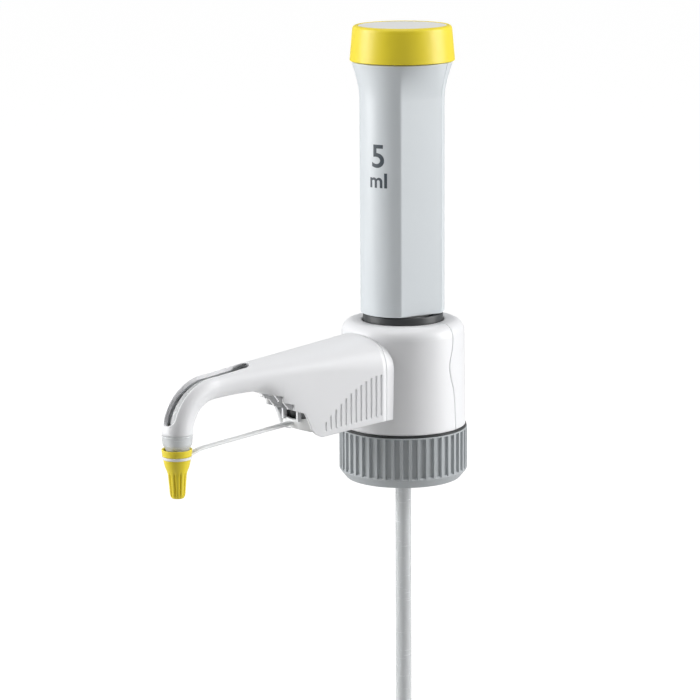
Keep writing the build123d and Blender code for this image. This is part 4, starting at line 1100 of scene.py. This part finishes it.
class DISPENSER_OT_discharge_spring(bpy.types.Operator):
    """Coil spring behind the discharge ball"""

    bl_idname = "dispenser.discharge_spring"
    bl_label = "Discharge spring"

    def execute(self, context):
        """Round wire carried along a helix about the duct's line."""
        low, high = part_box("discharge_spring")
        mid_z, coil, wire = (low.z + high.z) / 2 / MM, (high.y - low.y) / 2 / MM - 0.2, 0.2
        s = np.linspace(0, 1, 220)[:, None]
        turn = 2 * np.pi * 6.5 * s
        x = low.x / MM + wire + (high.x - low.x - 2 * wire * MM) / MM * s
        a = np.linspace(0, 2 * np.pi, 10, endpoint=False)[None, :]
        out = coil + wire * np.cos(a)
        grid = np.stack([x + wire * np.sin(a), out * np.cos(turn), mid_z + out * np.sin(turn)], -1)
        piece = mesh_piece("spring_coil", grid, grid_quads(220, 10, False, True), 60)
        finish_piece(piece, "valve_block", "spring_metal", "discharge_spring")
        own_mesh(piece)
        return {"FINISHED"}


class DISPENSER_OT_stage(bpy.types.Operator):
    """Pale floor, soft studio light and camera"""

    bl_idname = "dispenser.stage"
    bl_label = "Stage"

    def execute(self, context):
        scene = context.scene
        scene.view_settings.view_transform = "Standard"
        low = CAD_BOX[0][2]
        mesh = bpy.data.meshes.new("floor")
        mesh.from_pydata([(-4, -4, low), (4, -4, low), (4, 4, low), (-4, 4, low)], [], [(0, 1, 2, 3)])
        floor = bpy.data.objects.new("floor", mesh)
        scene.collection.objects.link(floor)
        floor.data.materials.append(self.backdrop_material())
        self.sky(scene)
        self.softbox("light_left", (-1.0, 0.83, 0.35), (0, 0, 0.09), 0.7, 1.4, 22.0)
        self.softbox("light_right", (0.90, -0.93, 0.35), (0, 0, 0.09), 0.7, 1.4, 22.5)
        self.softbox("light_top", (-0.1, -0.1, 1.3), (0, 0, 0.1), 1.0, 1.0, 7.0)
        camera = bpy.data.objects.new("camera", bpy.data.cameras.new("camera"))
        scene.collection.objects.link(camera)
        camera.data.lens = sizes().lens
        camera.data.sensor_width = 36.0
        camera.data.clip_end = 20.0
        camera.matrix_world = self.viewpoint()
        scene.camera = camera
        return {"FINISHED"}

    @staticmethod
    def viewpoint(turn=-41.5, distance=1.217, height=0.3021, pitch=11.5, yaw=1.06, roll=-0.35):
        """Camera placed round the axis by a turn and a distance, looking down by the pitch, with the axis a
        little right of the middle."""
        turn, pitch, yaw, roll = (math.radians(v) for v in (turn, pitch, yaw, roll))
        place = Vector((math.sin(turn) * distance, -math.cos(turn) * distance, height))
        level = Matrix.Rotation(yaw, 3, "Z") @ -Vector((math.sin(turn), -math.cos(turn), 0))
        forward = level * math.cos(pitch) + Vector((0, 0, -math.sin(pitch)))
        right = forward.cross(Vector((0, 0, 1))).normalized()
        up = right.cross(forward)
        cosine, sine = math.cos(roll), math.sin(roll)
        right, up = right * cosine + up * sine, up * cosine - right * sine
        return Matrix.Translation(place) @ Matrix((right, up, -forward)).transposed().to_4x4()

    @staticmethod
    def softbox(name, place, target, width, height, power):
        """Rectangular area light turned to a target."""
        lamp = bpy.data.lights.new(name, "AREA")
        lamp.shape = "RECTANGLE"
        lamp.size, lamp.size_y, lamp.energy = width, height, power
        holder = bpy.data.objects.new(name, lamp)
        bpy.context.scene.collection.objects.link(holder)
        holder.location = place
        holder.rotation_euler = (Vector(target) - Vector(place)).to_track_quat("-Z", "Y").to_euler()

    @staticmethod
    def seen_directly(tree):
        """Factors that are 1 for rays from the camera, reflected rays and refracted rays."""
        path = tree.nodes.new("ShaderNodeLightPath")
        return [path.outputs[f"Is {kind} Ray"] for kind in ("Camera", "Glossy", "Transmission")]

    def sky(self, scene):
        """Even studio surround, white where the camera sees it."""
        world = bpy.data.worlds.new("studio")
        scene.world = world
        world.use_nodes = True
        tree = world.node_tree
        glow = tree.nodes["Background"]
        glow.inputs["Color"].default_value = (1, 1, 1, 1)
        camera, glossy, through = self.seen_directly(tree)
        mirrored = maths(tree, "MULTIPLY", glossy, 0.43)
        seen = maths(tree, "MAXIMUM", maths(tree, "MAXIMUM", camera, through), mirrored)
        strength = maths(tree, "ADD", maths(tree, "MULTIPLY", seen, 0.92), 0.08)
        tree.links.new(strength, glow.inputs["Strength"])

    def backdrop_material(self):
        """Pale matt floor that looks white to the camera and still takes the shadow."""
        material = bpy.data.materials.new("finish_backdrop")
        material.use_nodes = True
        tree = material.node_tree
        shader = tree.nodes["Principled BSDF"]
        shader.inputs["Roughness"].default_value = 0.8
        noise = tree.nodes.new("ShaderNodeTexNoise")
        noise.inputs["Scale"].default_value = 3.0
        faint = maths(tree, "MULTIPLY", noise.outputs["Fac"], 0.03)
        grey = mix_colour(tree, faint, (0.62, 0.62, 0.62), (0.54, 0.54, 0.54))
        tree.links.new(grey, shader.inputs["Base Color"])
        glow = tree.nodes.new("ShaderNodeEmission")
        glow.inputs["Strength"].default_value = 1.22
        camera, _, through = self.seen_directly(tree)
        seen = maths(tree, "MAXIMUM", camera, maths(tree, "MULTIPLY", through, 0.9))
        blend = tree.nodes.new("ShaderNodeMixShader")
        tree.links.new(maths(tree, "MULTIPLY", seen, 0.8), blend.inputs[0])
        tree.links.new(shader.outputs[0], blend.inputs[1])
        tree.links.new(glow.outputs[0], blend.inputs[2])
        tree.links.new(blend.outputs[0], tree.nodes["Material Output"].inputs["Surface"])
        return material


PIECES = (
    DISPENSER_OT_finishes, DISPENSER_OT_mount_nut, DISPENSER_OT_body_covers, DISPENSER_OT_safety_ring,
    DISPENSER_OT_handle, DISPENSER_OT_top_cap, DISPENSER_OT_capacity_print, DISPENSER_OT_arm_cover,
    DISPENSER_OT_base_plate, DISPENSER_OT_nozzle_collar, DISPENSER_OT_screw_cap, DISPENSER_OT_cap_strap,
    DISPENSER_OT_discharge_spring, DISPENSER_OT_stage,
)


class DISPENSER_PT_panel(bpy.types.Panel):
    """Panel that lists the dispenser's pieces"""

    bl_label = "Bottle top dispenser"
    bl_idname = "DISPENSER_PT_panel"
    bl_space_type = "VIEW_3D"
    bl_region_type = "UI"
    bl_category = "Dispenser"

    def draw(self, context):
        layout = self.layout
        for group in (context.scene.dispenser_sizes, context.scene.dispenser_finishes):
            box = layout.box()
            for label in group.__annotations__:
                box.prop(group, label)
        for piece in PIECES:
            layout.operator(piece.bl_idname)


CLASSES = (DispenserSizes, DispenserFinishes, *PIECES, DISPENSER_PT_panel)


def register():
    """Registers the classes and hangs the settings on the scene."""
    for kind in CLASSES:
        bpy.utils.register_class(kind)
    bpy.types.Scene.dispenser_sizes = bpy.props.PointerProperty(type=DispenserSizes)
    bpy.types.Scene.dispenser_finishes = bpy.props.PointerProperty(type=DispenserFinishes)


def unregister():
    """Takes the settings and classes away again."""
    del bpy.types.Scene.dispenser_finishes
    del bpy.types.Scene.dispenser_sizes
    for kind in reversed(CLASSES):
        bpy.utils.unregister_class(kind)


def main():
    """Registers the classes and builds every piece in order."""
    register()
    for piece in PIECES:
        group, action = piece.bl_idname.split(".")
        getattr(getattr(bpy.ops, group), action)()


if __name__ == "__main__":
    main()
